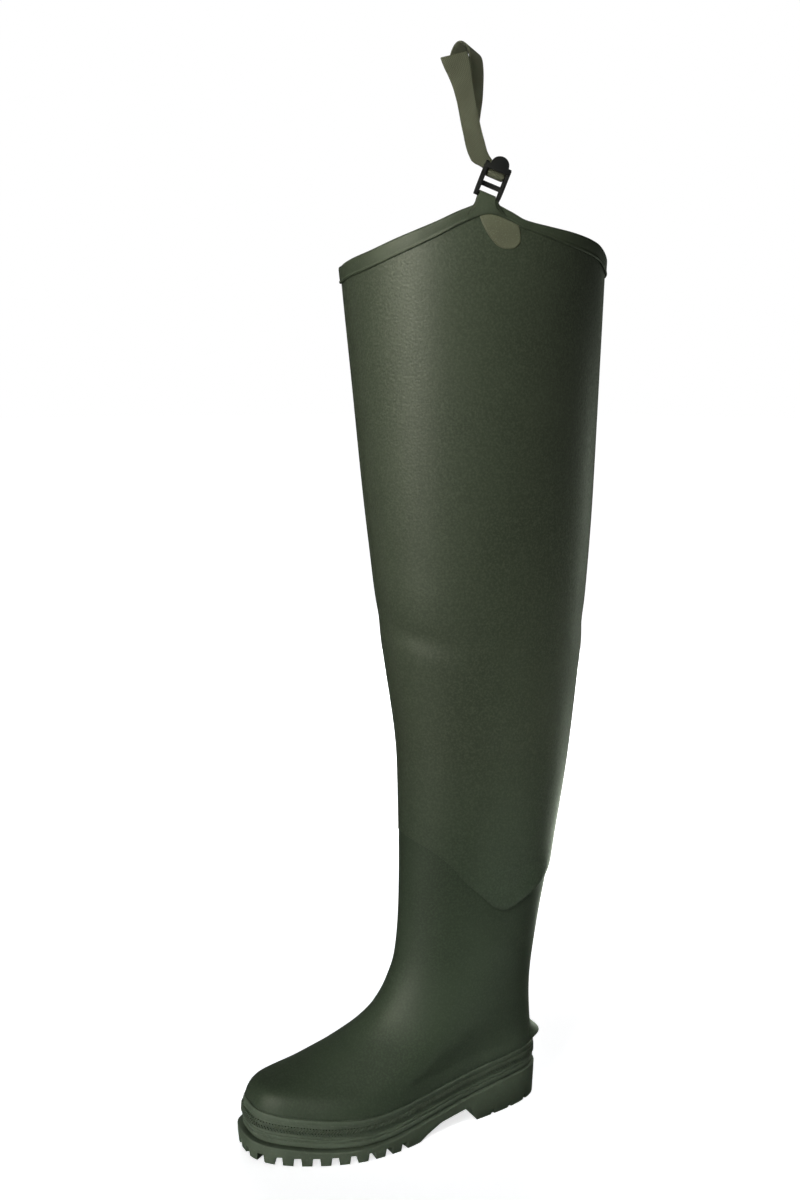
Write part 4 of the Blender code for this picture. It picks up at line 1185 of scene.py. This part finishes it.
class WADER_OT_sole(bpy.types.Operator):
    """Build the lugged outsole, with its edges rounded"""

    bl_idname = "wader.sole"
    bl_label = "Sole"

    def execute(self, context):
        turn = sole_turns(SOLE_STATIONS)
        sides = []
        for side in (1.0, -1.0):
            column = []
            for drop, out in SOLE_SIDE:
                point = sole_edge(side * turn, out)
                point[:, 2] = curve_at(SOLE_TOP, 1, point[:, 1]) - drop
                column.append(point)
            point = sole_edge(side * turn, SOLE_FOOT_OUT)
            point[:, 2] = straight_at(SOLE_UNDER, point[:, 1])
            column.append(point)
            sides.append(column)
        grid = np.stack(sides[0] + sides[1][::-1], axis=1)
        mesh = make_mesh("lugged_sole", *loft(grid, False, True), merge=MERGE)
        sole = add_object(mesh, sole_rubber_finish(colour_of("sole")))
        points, faces = [], []
        for block in groove_blocks():
            faces += [[len(points) + i for i in face] for face in BLOCK_FACES]
            points += block
        cutter = add_object(make_mesh("tread_grooves", points, faces, merge=MERGE))
        combine(sole, cutter, "DIFFERENCE")
        round_edges(sole, SOLE_BEVEL, segments=2, angle=35.0)
        settle(sole)
        bpy.data.objects.remove(cutter, do_unlink=True)
        if len(sole.data.polygons) < LEAST_FACES:
            raise RuntimeError("the tread was not cut")
        soften(sole.data, angle=35.0)
        dress(sole, "outsole")
        return {"FINISHED"}


class WADER_OT_footbed(bpy.types.Operator):
    """Build the footbed, cupped towards its edge"""

    bl_idname = "wader.footbed"
    bl_label = "Footbed"

    def execute(self, context):
        turn = np.linspace(0.0, math.pi, FOOTBED_STATIONS + 1)
        inset = -(BOOT_WALL + FOOTBED_CLEAR)
        right, left = feather_point(turn, inset), feather_point(-turn, inset)
        rows = []
        for share in np.linspace(0.0, 1.0, FOOTBED_ACROSS):
            edge = abs(2.0 * share - 1.0)
            roll = FOOTBED_ROLL_DROP * eased((edge - FOOTBED_ROLL_FROM) / FOOTBED_ROLL_WIDTH)
            cup = FOOTBED_CUP * edge**FOOTBED_CUP_POWER * (1.0 - roll)
            rows.append(right + (left - right) * share + np.array((0.0, 0.0, FOOTBED_THICK + cup)))
        rows += [left + np.array((0.0, 0.0, GAP)), right + np.array((0.0, 0.0, GAP))]
        grid = np.stack(rows, axis=1)
        grid[..., 2] += curve_at(SOLE_TOP, 1, grid[..., 1]) - shell(turn, FEATHER_LEVEL)[:, None, 2]
        mesh = make_mesh("footbed", *loft(grid, False, True), merge=MERGE)
        add_piece(mesh, (footbed_finish(colour_of("footbed")),), "insole", angle=45.0)
        return {"FINISHED"}


def rib_tree(finish):
    """Node tree that sets chevron ribs along a path, their arms slanting to both sides of it."""
    tree = bpy.data.node_groups.new("rand_ribs", "GeometryNodeTree")
    tree.interface.new_socket("Path", in_out="INPUT", socket_type="NodeSocketGeometry")
    sockets = {}
    for name in ("Spacing", "Arm", "Width", "Height", "Slant"):
        made = tree.interface.new_socket(name, in_out="INPUT", socket_type="NodeSocketFloat")
        sockets[name] = made.identifier
    tree.interface.new_socket("Ribs", in_out="OUTPUT", socket_type="NodeSocketGeometry")

    nodes = Nodes(tree)
    node, join, maths = nodes.node, nodes.join, nodes.maths
    given = node("NodeGroupInput").outputs
    curve = node("GeometryNodeMeshToCurve")
    join(given["Path"], curve.inputs[0])
    points = node("GeometryNodeCurveToPoints", mode="LENGTH")
    join(curve.outputs[0], points.inputs["Curve"])
    join(given["Spacing"], points.inputs["Length"])
    outward = node("GeometryNodeInputNamedAttribute", data_type="FLOAT_VECTOR")
    outward.inputs["Name"].default_value = "outward"
    along = node("FunctionNodeAlignRotationToVector", axis="X")
    join(points.outputs["Tangent"], along.inputs["Vector"])
    facing = node("FunctionNodeAlignRotationToVector", axis="Z", pivot_axis="X")
    join(along.outputs[0], facing.inputs["Rotation"])
    join(outward.outputs["Attribute"], facing.inputs["Vector"])
    size = node("ShaderNodeCombineXYZ")
    for key, value in (("X", "Arm"), ("Y", "Width"), ("Z", "Height")):
        join(given[value], size.inputs[key])
    chevron = node("GeometryNodeJoinGeometry")
    for side in (1.0, -1.0):
        arm = node("GeometryNodeMeshCube")
        join(size.outputs[0], arm.inputs["Size"])
        slant = node("ShaderNodeCombineXYZ")
        join(maths("MULTIPLY", given["Slant"], side), slant.inputs["Z"])
        lift = node("ShaderNodeCombineXYZ")
        half = maths("MULTIPLY", given["Arm"], RIB_ARM_MIDDLE * side)
        join(maths("MULTIPLY", half, maths("SINE", given["Slant"])), lift.inputs["Y"])
        moved = node("GeometryNodeTransform")
        join(arm.outputs["Mesh"], moved.inputs["Geometry"])
        join(slant.outputs[0], moved.inputs["Rotation"])
        join(lift.outputs[0], moved.inputs["Translation"])
        join(moved.outputs[0], chevron.inputs[0])
    placed = node("GeometryNodeInstanceOnPoints")
    join(points.outputs["Points"], placed.inputs["Points"])
    join(chevron.outputs[0], placed.inputs["Instance"])
    join(facing.outputs[0], placed.inputs["Rotation"])
    real = node("GeometryNodeRealizeInstances")
    join(placed.outputs[0], real.inputs[0])
    painted = node("GeometryNodeSetMaterial")
    painted.inputs["Material"].default_value = finish
    join(real.outputs[0], painted.inputs["Geometry"])
    join(painted.outputs[0], node("NodeGroupOutput").inputs[0])
    return tree, sockets


class WADER_OT_rand(bpy.types.Operator):
    """Build the rand around the foot, with its beads and its strip of chevron ribs"""

    bl_idname = "wader.rand"
    bl_label = "Rand"

    def execute(self, context):
        finish = bpy.data.materials["sole_rubber"]
        turn = even_turns(RAND_AROUND)
        rows = [on_shell(turn, rand_level(share), out) for share, out in RAND]
        rows += [on_shell(turn, rand_level(share), GAP) for share in RAND_BACK_SHARES]
        mesh = make_mesh("rand_band", *loft(np.stack(rows), True, True))
        add_piece(mesh, (finish,), "rand", angle=60.0)
        self.add_ribs(finish, context.scene.wader_sizes)
        return {"FINISHED"}

    def add_ribs(self, finish, sizes):
        turn, level = even_turns(RIB_PATH_POINTS), rand_level(RIB_SHARE)
        points = on_shell(turn, level, RIB_SEAT) + FOOT_SHIFT
        path = bpy.data.meshes.new("rand_ribs")
        count = len(points)
        path.from_pydata(points.tolist(), [(i, (i + 1) % count) for i in range(count)], [])
        outward = path.attributes.new("outward", "FLOAT_VECTOR", "POINT")
        outward.data.foreach_set("vector", shell_normal(turn, level).ravel())
        ribs = add_object(path)
        tree, sockets = rib_tree(finish)
        maker = ribs.modifiers.new("ribs", "NODES")
        maker.node_group = tree
        for name, identifier in sockets.items():
            maker[identifier] = getattr(sizes, "rib_" + name.lower())
        settle(ribs)
        if len(ribs.data.polygons) < LEAST_FACES:
            raise RuntimeError("the ribs of the rand were not made")
        dress(ribs)


def corner_cut(points, rounds=2):
    """Polyline with its corners cut to a smooth run; its ends stay."""
    points = np.asarray(points, float)
    for _ in range(rounds):
        first = points[:-1] * 0.75 + points[1:] * 0.25
        second = points[:-1] * 0.25 + points[1:] * 0.75
        inner = np.stack((first, second), axis=1).reshape(-1, points.shape[1])
        points = np.concatenate((points[:1], inner[1:-1], points[-1:]))
    return points


class WADER_OT_heel_ledge(bpy.types.Operator):
    """Build the kick-off ledge on the heel"""

    bl_idname = "wader.heel_ledge"
    bl_label = "Heel Ledge"

    def execute(self, context):
        profile = corner_cut(SPUR)
        seat = np.linspace(SPUR[-1][1], SPUR[0][1], SPUR_SEAT_ROWS)[1:-1]
        levels = np.concatenate((profile[:, 1], seat))
        sections = []
        for share in np.linspace(-1.0, 1.0, SPUR_SECTIONS):
            swell = max(math.cos(share * QUARTER), 0.0) ** SPUR_FULLNESS
            thick = SPUR_END_OUT + (SPUR_OUT - SPUR_END_OUT) * swell
            outs = np.concatenate((GAP + thick * profile[:, 0], np.full(len(seat), GAP)))
            sections.append(on_shell(math.pi + share * SPUR_HALF_TURN, levels, outs))
        mesh = make_mesh("heel_ledge", *capped(np.stack(sections)), merge=MERGE)
        add_piece(mesh, (bpy.data.materials["boot_rubber"],), "heel_spur", angle=45.0)
        return {"FINISHED"}


class WADER_OT_leg(bpy.types.Operator):
    """Build the leg's sheet from the scalloped hem to the rim, with its creases"""

    bl_idname = "wader.leg"
    bl_label = "Leg"

    def execute(self, context):
        sizes = context.scene.wader_sizes
        turn = ring_turns(LEG_AROUND)[None, :]
        hem, rim = leg_edge(HEM, turn), leg_edge(RIM, turn)

        def sheet(rows, out):
            level = hem + (rim - hem) * np.linspace(0.0, 1.0, rows)[:, None] ** LEG_CROWDING
            return on_shell(turn, level, out + leg_relief(turn, level, sizes.crease_share))

        outer = sheet(LEG_ROWS, GAP + sizes.leg_wall)
        inner = sheet(LEG_INNER_ROWS, GAP)
        half = sizes.leg_wall / 2.0
        stand = GAP + half + leg_relief(turn[0], hem[0], sizes.crease_share)
        edge = []
        for k in range(1, EDGE_STEPS):
            angle = math.pi * k / EDGE_STEPS
            edge.append(on_shell(turn[0], hem[0] - half * math.sin(angle), stand - half * math.cos(angle)))
        grid = np.concatenate((outer, inner[::-1], np.stack(edge)))
        mesh = make_mesh("leg_wall", *loft(grid, True, True))
        sheet_finish = leg_sheet_finish(colour_of("leg"), colour_of("lower_leg_painted_shade"))
        add_piece(mesh, (sheet_finish, bpy.data.materials["lining"]), "leg", angle=60.0)
        line_rows(mesh, LEG_AROUND, LEG_ROWS, LEG_ROWS + LEG_INNER_ROWS - 1)
        return {"FINISHED"}


class WADER_OT_back_weld(bpy.types.Operator):
    """Build the weld strip down the back of the leg"""

    bl_idname = "wader.back_weld"
    bl_label = "Back Weld"

    def execute(self, context):
        sizes = context.scene.wader_sizes
        level = np.linspace(leg_edge(HEM, math.pi), band_edge(math.pi), WELD_STEPS + 1)[:, None]
        half_turn = WELD_WIDTH / 2.0 / curve_at(SHELL, SHELL_MEDIAL, level)
        turn = math.pi + half_turn * np.array(WELD_ACROSS)[None, :]
        base = 2.0 * GAP + sizes.leg_wall + leg_relief(turn, level, sizes.crease_share)
        top = on_shell(turn, level, base + WELD_WALL * np.array(WELD_RISE)[None, :])
        under = on_shell(turn, level, base)
        mesh = make_mesh("back_weld", *capped(np.concatenate((top, under[:, ::-1]), axis=1)))
        add_piece(mesh, (bpy.data.materials["leg_sheet"],), "back_seam", angle=50.0)
        return {"FINISHED"}


class WADER_OT_binding(bpy.types.Operator):
    """Build the binding folded over the rim"""

    bl_idname = "wader.binding"
    bl_label = "Binding"

    def execute(self, context):
        wall = context.scene.wader_sizes.leg_wall
        turn = ring_turns(BINDING_AROUND)
        rim, band = leg_edge(RIM, turn), leg_edge(BAND, turn)
        rows = [on_shell(turn, rim + rise - hung * band, GAP + wall + out) for out, rise, hung in BINDING]
        mesh = make_mesh("rim_binding", *loft(np.stack(rows), True, True))
        finish = binding_finish("binding_sheet", colour_of("binding"))
        add_piece(mesh, (finish,), "collar_binding", angle=60.0)
        return {"FINISHED"}


def leg_radius(turn):
    """Length around the leg for one radian of turn, at the rim."""
    nudge = 0.02
    level = leg_edge(RIM, turn)
    return np.linalg.norm(shell(turn + nudge, level) - shell(turn - nudge, level)) / (2.0 * nudge)


class WADER_OT_patches(bpy.types.Operator):
    """Build the half-round patches below the binding"""

    bl_idname = "wader.patches"
    bl_label = "Patches"

    def execute(self, context):
        base = 2.0 * GAP + context.scene.wader_sizes.leg_wall
        finish = binding_finish("patch_sheet", colour_of("patch"))
        down = np.sin(np.linspace(0.0, QUARTER, PATCH_DOWN))[:, None] * PATCH_END_SHARE
        across = np.sin(np.linspace(-QUARTER, QUARTER, PATCH_ACROSS + 1))[None, :]
        for piece, node, angle, half_width, bottom, skew in PATCHES:
            middle = math.radians(angle)
            reach = half_width * (1.0 - down**2) ** PATCH_FULLNESS
            turn = middle + (skew * down + reach * across) / leg_radius(middle)
            top = band_edge(turn)
            level = top + (bottom - top) * down
            from_side = reach * (1.0 - np.abs(across))
            from_end = (1.0 - down / PATCH_END_SHARE) * (top - bottom)
            rounded = eased(np.minimum(from_side, from_end) / PATCH_EDGE)
            rise = PATCH_WALL * (PATCH_EDGE_SHARE + (1.0 - PATCH_EDGE_SHARE) * rounded)
            points, faces = plate(on_shell(turn, level, base + rise), on_shell(turn, level, base))
            mesh = make_mesh(piece, points, faces, merge=FINE_MERGE)
            add_piece(mesh, (finish,), node, angle=50.0)
        return {"FINISHED"}


def peak_frame():
    """Frame at the peak of the rim: along the rim, out of the leg, and up."""
    turn = math.radians(PEAK_ANGLE)
    level = leg_edge(RIM, turn)
    wall = bpy.context.scene.wader_sizes.leg_wall
    normal = shell_normal(turn, level)
    out = Vector((normal[0], normal[1], 0.0)).normalized()
    up = Vector((0.0, 0.0, 1.0))
    made = Matrix((up.cross(out), out, up)).transposed().to_4x4()
    made.translation = Vector(on_shell(turn, level, GAP + wall / 2.0))
    return made


def buckle_frame():
    """Frame of the buckle: its foot bar crosses the peak, and it leans along the rim."""
    lean = Matrix.Rotation(BUCKLE_LEAN, 4, "Y") @ Matrix.Rotation(BUCKLE_TIP_OUT, 4, "X")
    return peak_frame() @ Matrix.Translation((0.0, 0.0, BUCKLE_FOOT_UP)) @ lean


def moved(points, by):
    return [tuple(by @ Vector(point)) for point in points]


def rounded_rail(middle):
    """Section points of one rail in its own plane, pushed out to both faces."""
    low, high = -BAR_THICK / 2.0, RAIL_LENGTH - BAR_THICK / 2.0
    back_in, back_up = RAIL_FOOT_BACK
    front_in, front_up = RAIL_FOOT_FRONT
    control = [
        (RAIL_FRONT, high / 2.0),
        (RAIL_FRONT, high),
        (RAIL_BACK, high),
        (RAIL_BACK, low + back_up),
        (RAIL_BACK + back_in, low),
        (RAIL_FRONT - front_in, low),
        (RAIL_FRONT, low + front_up),
        (RAIL_FRONT, high / 2.0),
    ]
    outline = corner_cut(control)[:-1]
    faces_at = (middle - RAIL_WIDTH / 2.0, middle + RAIL_WIDTH / 2.0)
    return np.stack([[(x, out, up) for out, up in outline] for x in faces_at])


def rounded_bar(out, up, height):
    """Both ends of one bar between the rails, rounded all around."""
    half = (BUCKLE_WIDTH - RAIL_WIDTH) / 2.0
    radius = BAR_THICK / 2.0
    straight = (height - BAR_THICK) / 2.0
    ring = []
    for k in range(BAR_SIDES):
        angle = 2.0 * math.pi * (k + 0.5) / BAR_SIDES
        rise = radius * math.sin(angle)
        ring.append((out + radius * math.cos(angle), up + rise + math.copysign(straight, rise)))
    return np.stack([[(x, o, u) for o, u in ring] for x in (-half, half)])


def thumb_tab():
    """Back and front of the rounded plate on the buckle."""
    half = BUCKLE_WIDTH / 2.0 - THUMB_TAB_INSET
    outline = [(-half, 0.0), (-half, -THUMB_TAB_FOOT), (half, -THUMB_TAB_FOOT), (half, 0.0)]
    for k in range(THUMB_TAB_STEPS + 1):
        angle = math.pi * k / THUMB_TAB_STEPS
        rise = THUMB_TAB_REACH * max(math.sin(angle), 0.0) ** THUMB_TAB_FULLNESS
        outline.append((THUMB_TAB_HALF * math.cos(angle), rise))
    faces_at = (THUMB_TAB_BACK, THUMB_TAB_FRONT)
    return np.stack([[(x, out, THUMB_TAB_UP + up) for x, up in outline] for out in faces_at])


class WADER_OT_buckle(bpy.types.Operator):
    """Build the ladder buckle and the tongue that holds it at the peak of the rim"""

    bl_idname = "wader.buckle"
    bl_label = "Buckle and Tongue"

    def execute(self, context):
        self.add_tongue()
        self.add_buckle(buckle_finish(colour_of("buckle")))
        return {"FINISHED"}

    def add_tongue(self):
        foot_frame, bar_frame = peak_frame(), buckle_frame()
        bar_out, bar_up = BARS[0][:2]
        inside = BAR_THICK / 2.0 * math.sqrt(2.0) + GAP
        peak = math.radians(PEAK_ANGLE)
        radius_here = leg_radius(peak)
        sections = []
        for share in np.linspace(-0.5, 0.5, TONGUE_ACROSS):
            foot_along = share * TONGUE_FOOT_WIDTH
            turn = peak + foot_along / radius_here
            drop = TONGUE_END_DROP * (2.0 * abs(share)) ** 2
            foot_up = leg_edge(RIM, turn) - leg_edge(RIM, peak) + TONGUE_FOOT_UP - drop
            apron = self.apron(turn, drop)
            paths = []
            for layer, radius in enumerate((inside, inside + TONGUE_WALL)):
                loop = []
                for k in range(TONGUE_STEPS + 1):
                    angle = math.pi * k / TONGUE_STEPS
                    out, up = bar_out + radius * math.cos(angle), bar_up + radius * math.sin(angle)
                    loop.append(bar_frame @ Vector((share * TONGUE_WIDTH, out, up)))
                back_foot = foot_frame @ Vector((foot_along, bar_out - radius, foot_up))
                front = apron[layer] + self.flare(Vector(apron[layer][-1]), loop[0])[1:]
                back = self.flare(back_foot, loop[-1])
                paths.append(front + [tuple(point) for point in loop] + back[::-1])
            sections.append(paths[0] + paths[1][::-1])
        mesh = make_mesh("buckle_tongue", *capped(np.array(sections)), merge=FINE_MERGE)
        add_piece(mesh, (bpy.data.materials["binding_sheet"],), "buckle_tab", angle=50.0)

    def apron(self, turn, drop):
        """Inner and outer face of the tongue where it lies on the binding, from the binding's low edge up."""
        top = leg_edge(RIM, turn) + APRON_TOP - drop
        foot = leg_edge(RIM, turn) - leg_edge(BAND, turn) + APRON_FOOT
        level = np.linspace(foot, top, APRON_STEPS)
        seat = GAP + bpy.context.scene.wader_sizes.leg_wall + APRON_SEAT
        return [[tuple(point) for point in on_shell(turn, level, out)] for out in (seat, seat + APRON_WALL)]

    def flare(self, foot, top):
        """Places from the foot to the top that draw in quickly, then rise straight."""
        run = []
        for k in range(TONGUE_RISE_STEPS):
            rise = k / TONGUE_RISE_STEPS
            drawn = foot.lerp(top, 1.0 - (1.0 - rise) ** TONGUE_FLARE)
            run.append((drawn.x, drawn.y, foot.z + (top.z - foot.z) * rise))
        return run

    def add_buckle(self, finish):
        by = buckle_frame()
        rail_at = (BUCKLE_WIDTH - RAIL_WIDTH) / 2.0
        solids = [rounded_rail(-rail_at), rounded_rail(rail_at)]
        solids += [rounded_bar(*bar) for bar in BARS]
        solids.append(thumb_tab())
        parts = []
        for k, grid in enumerate(solids):
            points, faces = capped(grid)
            mesh = make_mesh(f"buckle_part_{k}", moved(points, by), faces, merge=FINE_MERGE)
            parts.append(add_object(mesh))
        buckle = parts[0]
        buckle.name = "ladder_buckle"
        for part in parts[1:]:
            combine(buckle, part, "UNION")
        round_edges(buckle, BUCKLE_BEVEL, segments=3, angle=40.0)
        settle(buckle)
        for part in parts[1:]:
            bpy.data.objects.remove(part, do_unlink=True)
        buckle.data.materials.clear()
        buckle.data.materials.append(finish)
        soften(buckle.data, angle=40.0)
        dress(buckle, "buckle")


def strap_route():
    """Places and width directions along the strap, from its cut end to the end behind it."""
    peak, bar_frame = peak_frame(), buckle_frame()
    bar_out, bar_up = BARS[2][:2]
    radius = BAR_THICK / 2.0 * math.sqrt(2.0) + GAP + STRAP_WALL / 2.0

    def laid(rows):
        run = []
        for along, out, up, turn, dip in rows:
            swing, drop = math.radians(turn), math.radians(dip)
            flat = math.cos(drop)
            width = Vector((math.cos(swing) * flat, math.sin(swing) * flat, -math.sin(drop)))
            run.append((*(peak @ Vector((along, out, up))), *(peak.to_3x3() @ width)))
        return run

    wrap = []
    for degrees in STRAP_WRAP_ANGLES:
        angle = math.radians(degrees)
        spot = Vector((0.0, bar_out + radius * math.cos(angle), bar_up + radius * math.sin(angle)))
        wrap.append((*(bar_frame @ spot), *(bar_frame.to_3x3() @ Vector((1.0, 0.0, 0.0)))))
    return np.array(laid(STRAP_FRONT) + wrap + laid(STRAP_BACK))


def smooth_run(route, count):
    """Places on a smooth curve through a route, with a count of them to each of its spans."""
    slopes = np.gradient(route, axis=0)
    s = (np.arange(count) / count)[None, :, None]
    here, there = route[:-1, None], route[1:, None]
    steps = (2 * s**3 - 3 * s**2 + 1) * here + (3 * s**2 - 2 * s**3) * there
    steps = steps + (s**3 - 2 * s**2 + s) * slopes[:-1, None] + (s**3 - s**2) * slopes[1:, None]
    return np.concatenate((steps.reshape(-1, route.shape[1]), route[-1:]))


def unit(rows):
    """Directions of one length."""
    return rows / np.linalg.norm(rows, axis=1, keepdims=True)


class WADER_OT_strap(bpy.types.Operator):
    """Build the loop of webbing through the buckle"""

    bl_idname = "wader.strap"
    bl_label = "Belt Strap"

    def execute(self, context):
        steps = smooth_run(strap_route(), STRAP_STEPS)
        place, width = steps[:, :3], unit(steps[:, 3:])
        face = unit(np.cross(unit(np.gradient(place, axis=0)), width))
        walked = lengths_along(place)
        share = curve_at(STRAP_END, 1, walked) * curve_at(STRAP_END, 2, walked[-1] - walked)
        section = np.array(STRAP_SECTION)
        across = section[None, :, 0, None] * STRAP_WIDTH * share[:, None, None] * width[:, None]
        through = section[None, :, 1, None] * STRAP_WALL * face[:, None]
        mesh = make_mesh("belt_loop", *capped(place[:, None] + across + through))
        self.lay_weave(mesh, walked, section)
        add_piece(mesh, (webbing_finish(colour_of("webbing")),), "belt_strap", angle=60.0)
        return {"FINISHED"}

    def lay_weave(self, mesh, walked, section):
        """UV map in metres: across the strap, and along it from its cut end."""
        columns = len(section)
        layer = mesh.uv_layers.new(name="weave")
        for corner, spot in zip(mesh.loops, layer.data):
            row, column = divmod(corner.vertex_index, columns)
            spot.uv = (section[column, 0] * STRAP_WIDTH, walked[row])


def around_camera(degrees, distance, height):
    """Place at an angle from the camera's side of the wader; positive angles go to the camera's right."""
    angle = CAMERA_AZIMUTH + math.radians(degrees)
    return Vector((math.sin(angle) * distance, -math.cos(angle) * distance, height)) + Vector(FOOT_SHIFT)


def add_light(place, target, name, width, height, watts, spread, tint=(1.0, 1.0, 1.0)):
    """Square light at a place, turned to a target; spread is in degrees."""
    light = bpy.data.lights.new(name, "AREA")
    light.shape = "RECTANGLE"
    light.size = width
    light.size_y = height
    light.energy = watts
    light.spread = math.radians(spread)
    light.color = tint
    made = bpy.data.objects.new(name, light)
    made.location = place
    made.rotation_euler = (target - place).to_track_quat("-Z", "Y").to_euler()
    bpy.context.scene.collection.objects.link(made)
    return made


class WADER_OT_stage(bpy.types.Operator):
    """Set the pale floor, the soft lights and the camera"""

    bl_idname = "wader.stage"
    bl_label = "Stage"

    def execute(self, context):
        scene = context.scene
        scene.view_settings.view_transform = "Standard"
        self.add_floor(floor_finish(colour_of("floor")))
        self.add_world(scene)
        for light in self.add_lights(SOFT_LIGHTS):
            light.visible_glossy = False
        for light in self.add_lights(GLOSS_LIGHTS):
            light.visible_diffuse = False
        self.add_camera(scene)
        return {"FINISHED"}

    def add_lights(self, rows):
        targets = {name: Vector(spot) for name, spot in LIGHT_TARGETS.items()}
        targets["strap"] = peak_frame().translation + Vector((0.0, 0.0, STRAP_LIGHT_RISE))
        made = []
        for name, angle, distance, height, target, *lamp in rows:
            place = around_camera(angle, distance, height)
            made.append(add_light(place, targets[target] + Vector(FOOT_SHIFT), name, *lamp))
        return made

    def add_floor(self, finish):
        body = bmesh.new()
        bmesh.ops.create_circle(body, cap_ends=True, segments=FLOOR_SIDES, radius=FLOOR_RADIUS)
        bmesh.ops.translate(body, verts=body.verts, vec=(0.0, 0.0, -GAP))
        mesh = bpy.data.meshes.new("studio_floor")
        body.to_mesh(mesh)
        body.free()
        floor = add_object(mesh, finish)
        floor.visible_diffuse = False
        floor.visible_glossy = False

    def add_world(self, scene):
        """White where the camera looks past the floor, and a faint light from all around."""
        world = bpy.data.worlds.new("studio")
        world.use_nodes = True
        nodes = Nodes(world.node_tree)
        nodes.tree.nodes.clear()
        seen = nodes.node("ShaderNodeBackground")
        seen.inputs["Color"].default_value = (1.0, 1.0, 1.0, 1.0)
        lit = nodes.node("ShaderNodeBackground")
        lit.inputs["Color"].default_value = (0.95, 0.98, 1.0, 1.0)
        lit.inputs["Strength"].default_value = 0.02
        path = nodes.node("ShaderNodeLightPath")
        mix = nodes.node("ShaderNodeMixShader")
        output = nodes.node("ShaderNodeOutputWorld")
        nodes.join(path.outputs["Is Camera Ray"], mix.inputs["Fac"])
        nodes.join(lit.outputs[0], mix.inputs[1])
        nodes.join(seen.outputs[0], mix.inputs[2])
        nodes.join(mix.outputs[0], output.inputs["Surface"])
        scene.world = world

    def add_camera(self, scene):
        lens = bpy.data.cameras.new("camera")
        lens.lens = CAMERA_LENS_MM
        lens.shift_x = CAMERA_SHIFT_X
        camera = bpy.data.objects.new("camera", lens)
        camera.location = around_camera(0.0, CAMERA_DISTANCE, CAMERA_HEIGHT)
        camera.rotation_euler = (QUARTER - CAMERA_PITCH, 0.0, CAMERA_AZIMUTH)
        scene.collection.objects.link(camera)
        scene.camera = camera


OPERATORS = (
    WADER_OT_boot,
    WADER_OT_sole,
    WADER_OT_footbed,
    WADER_OT_rand,
    WADER_OT_heel_ledge,
    WADER_OT_leg,
    WADER_OT_back_weld,
    WADER_OT_binding,
    WADER_OT_patches,
    WADER_OT_buckle,
    WADER_OT_strap,
    WADER_OT_stage,
)


class WADER_PT_panel(bpy.types.Panel):
    """Sizes, colours and pieces of the wader"""

    bl_idname = "WADER_PT_panel"
    bl_label = "Hip Wader"
    bl_space_type = "VIEW_3D"
    bl_region_type = "UI"
    bl_category = "Wader"

    def draw(self, context):
        for group in (context.scene.wader_sizes, context.scene.wader_colours):
            box = self.layout.box()
            for name in group.__annotations__:
                box.prop(group, name)
        for operator in OPERATORS:
            self.layout.operator(operator.bl_idname)


CLASSES = (WaderSizes, WaderColours, *OPERATORS, WADER_PT_panel)


def register():
    for item in CLASSES:
        bpy.utils.register_class(item)
    bpy.types.Scene.wader_sizes = PointerProperty(type=WaderSizes)
    bpy.types.Scene.wader_colours = PointerProperty(type=WaderColours)


def unregister():
    del bpy.types.Scene.wader_colours
    del bpy.types.Scene.wader_sizes
    for item in reversed(CLASSES):
        bpy.utils.unregister_class(item)


def main():
    register()
    bpy.ops.wader.boot()
    bpy.ops.wader.sole()
    bpy.ops.wader.footbed()
    bpy.ops.wader.rand()
    bpy.ops.wader.heel_ledge()
    bpy.ops.wader.leg()
    bpy.ops.wader.back_weld()
    bpy.ops.wader.binding()
    bpy.ops.wader.patches()
    bpy.ops.wader.buckle()
    bpy.ops.wader.strap()
    bpy.ops.wader.stage()


if __name__ == "__main__":
    main()
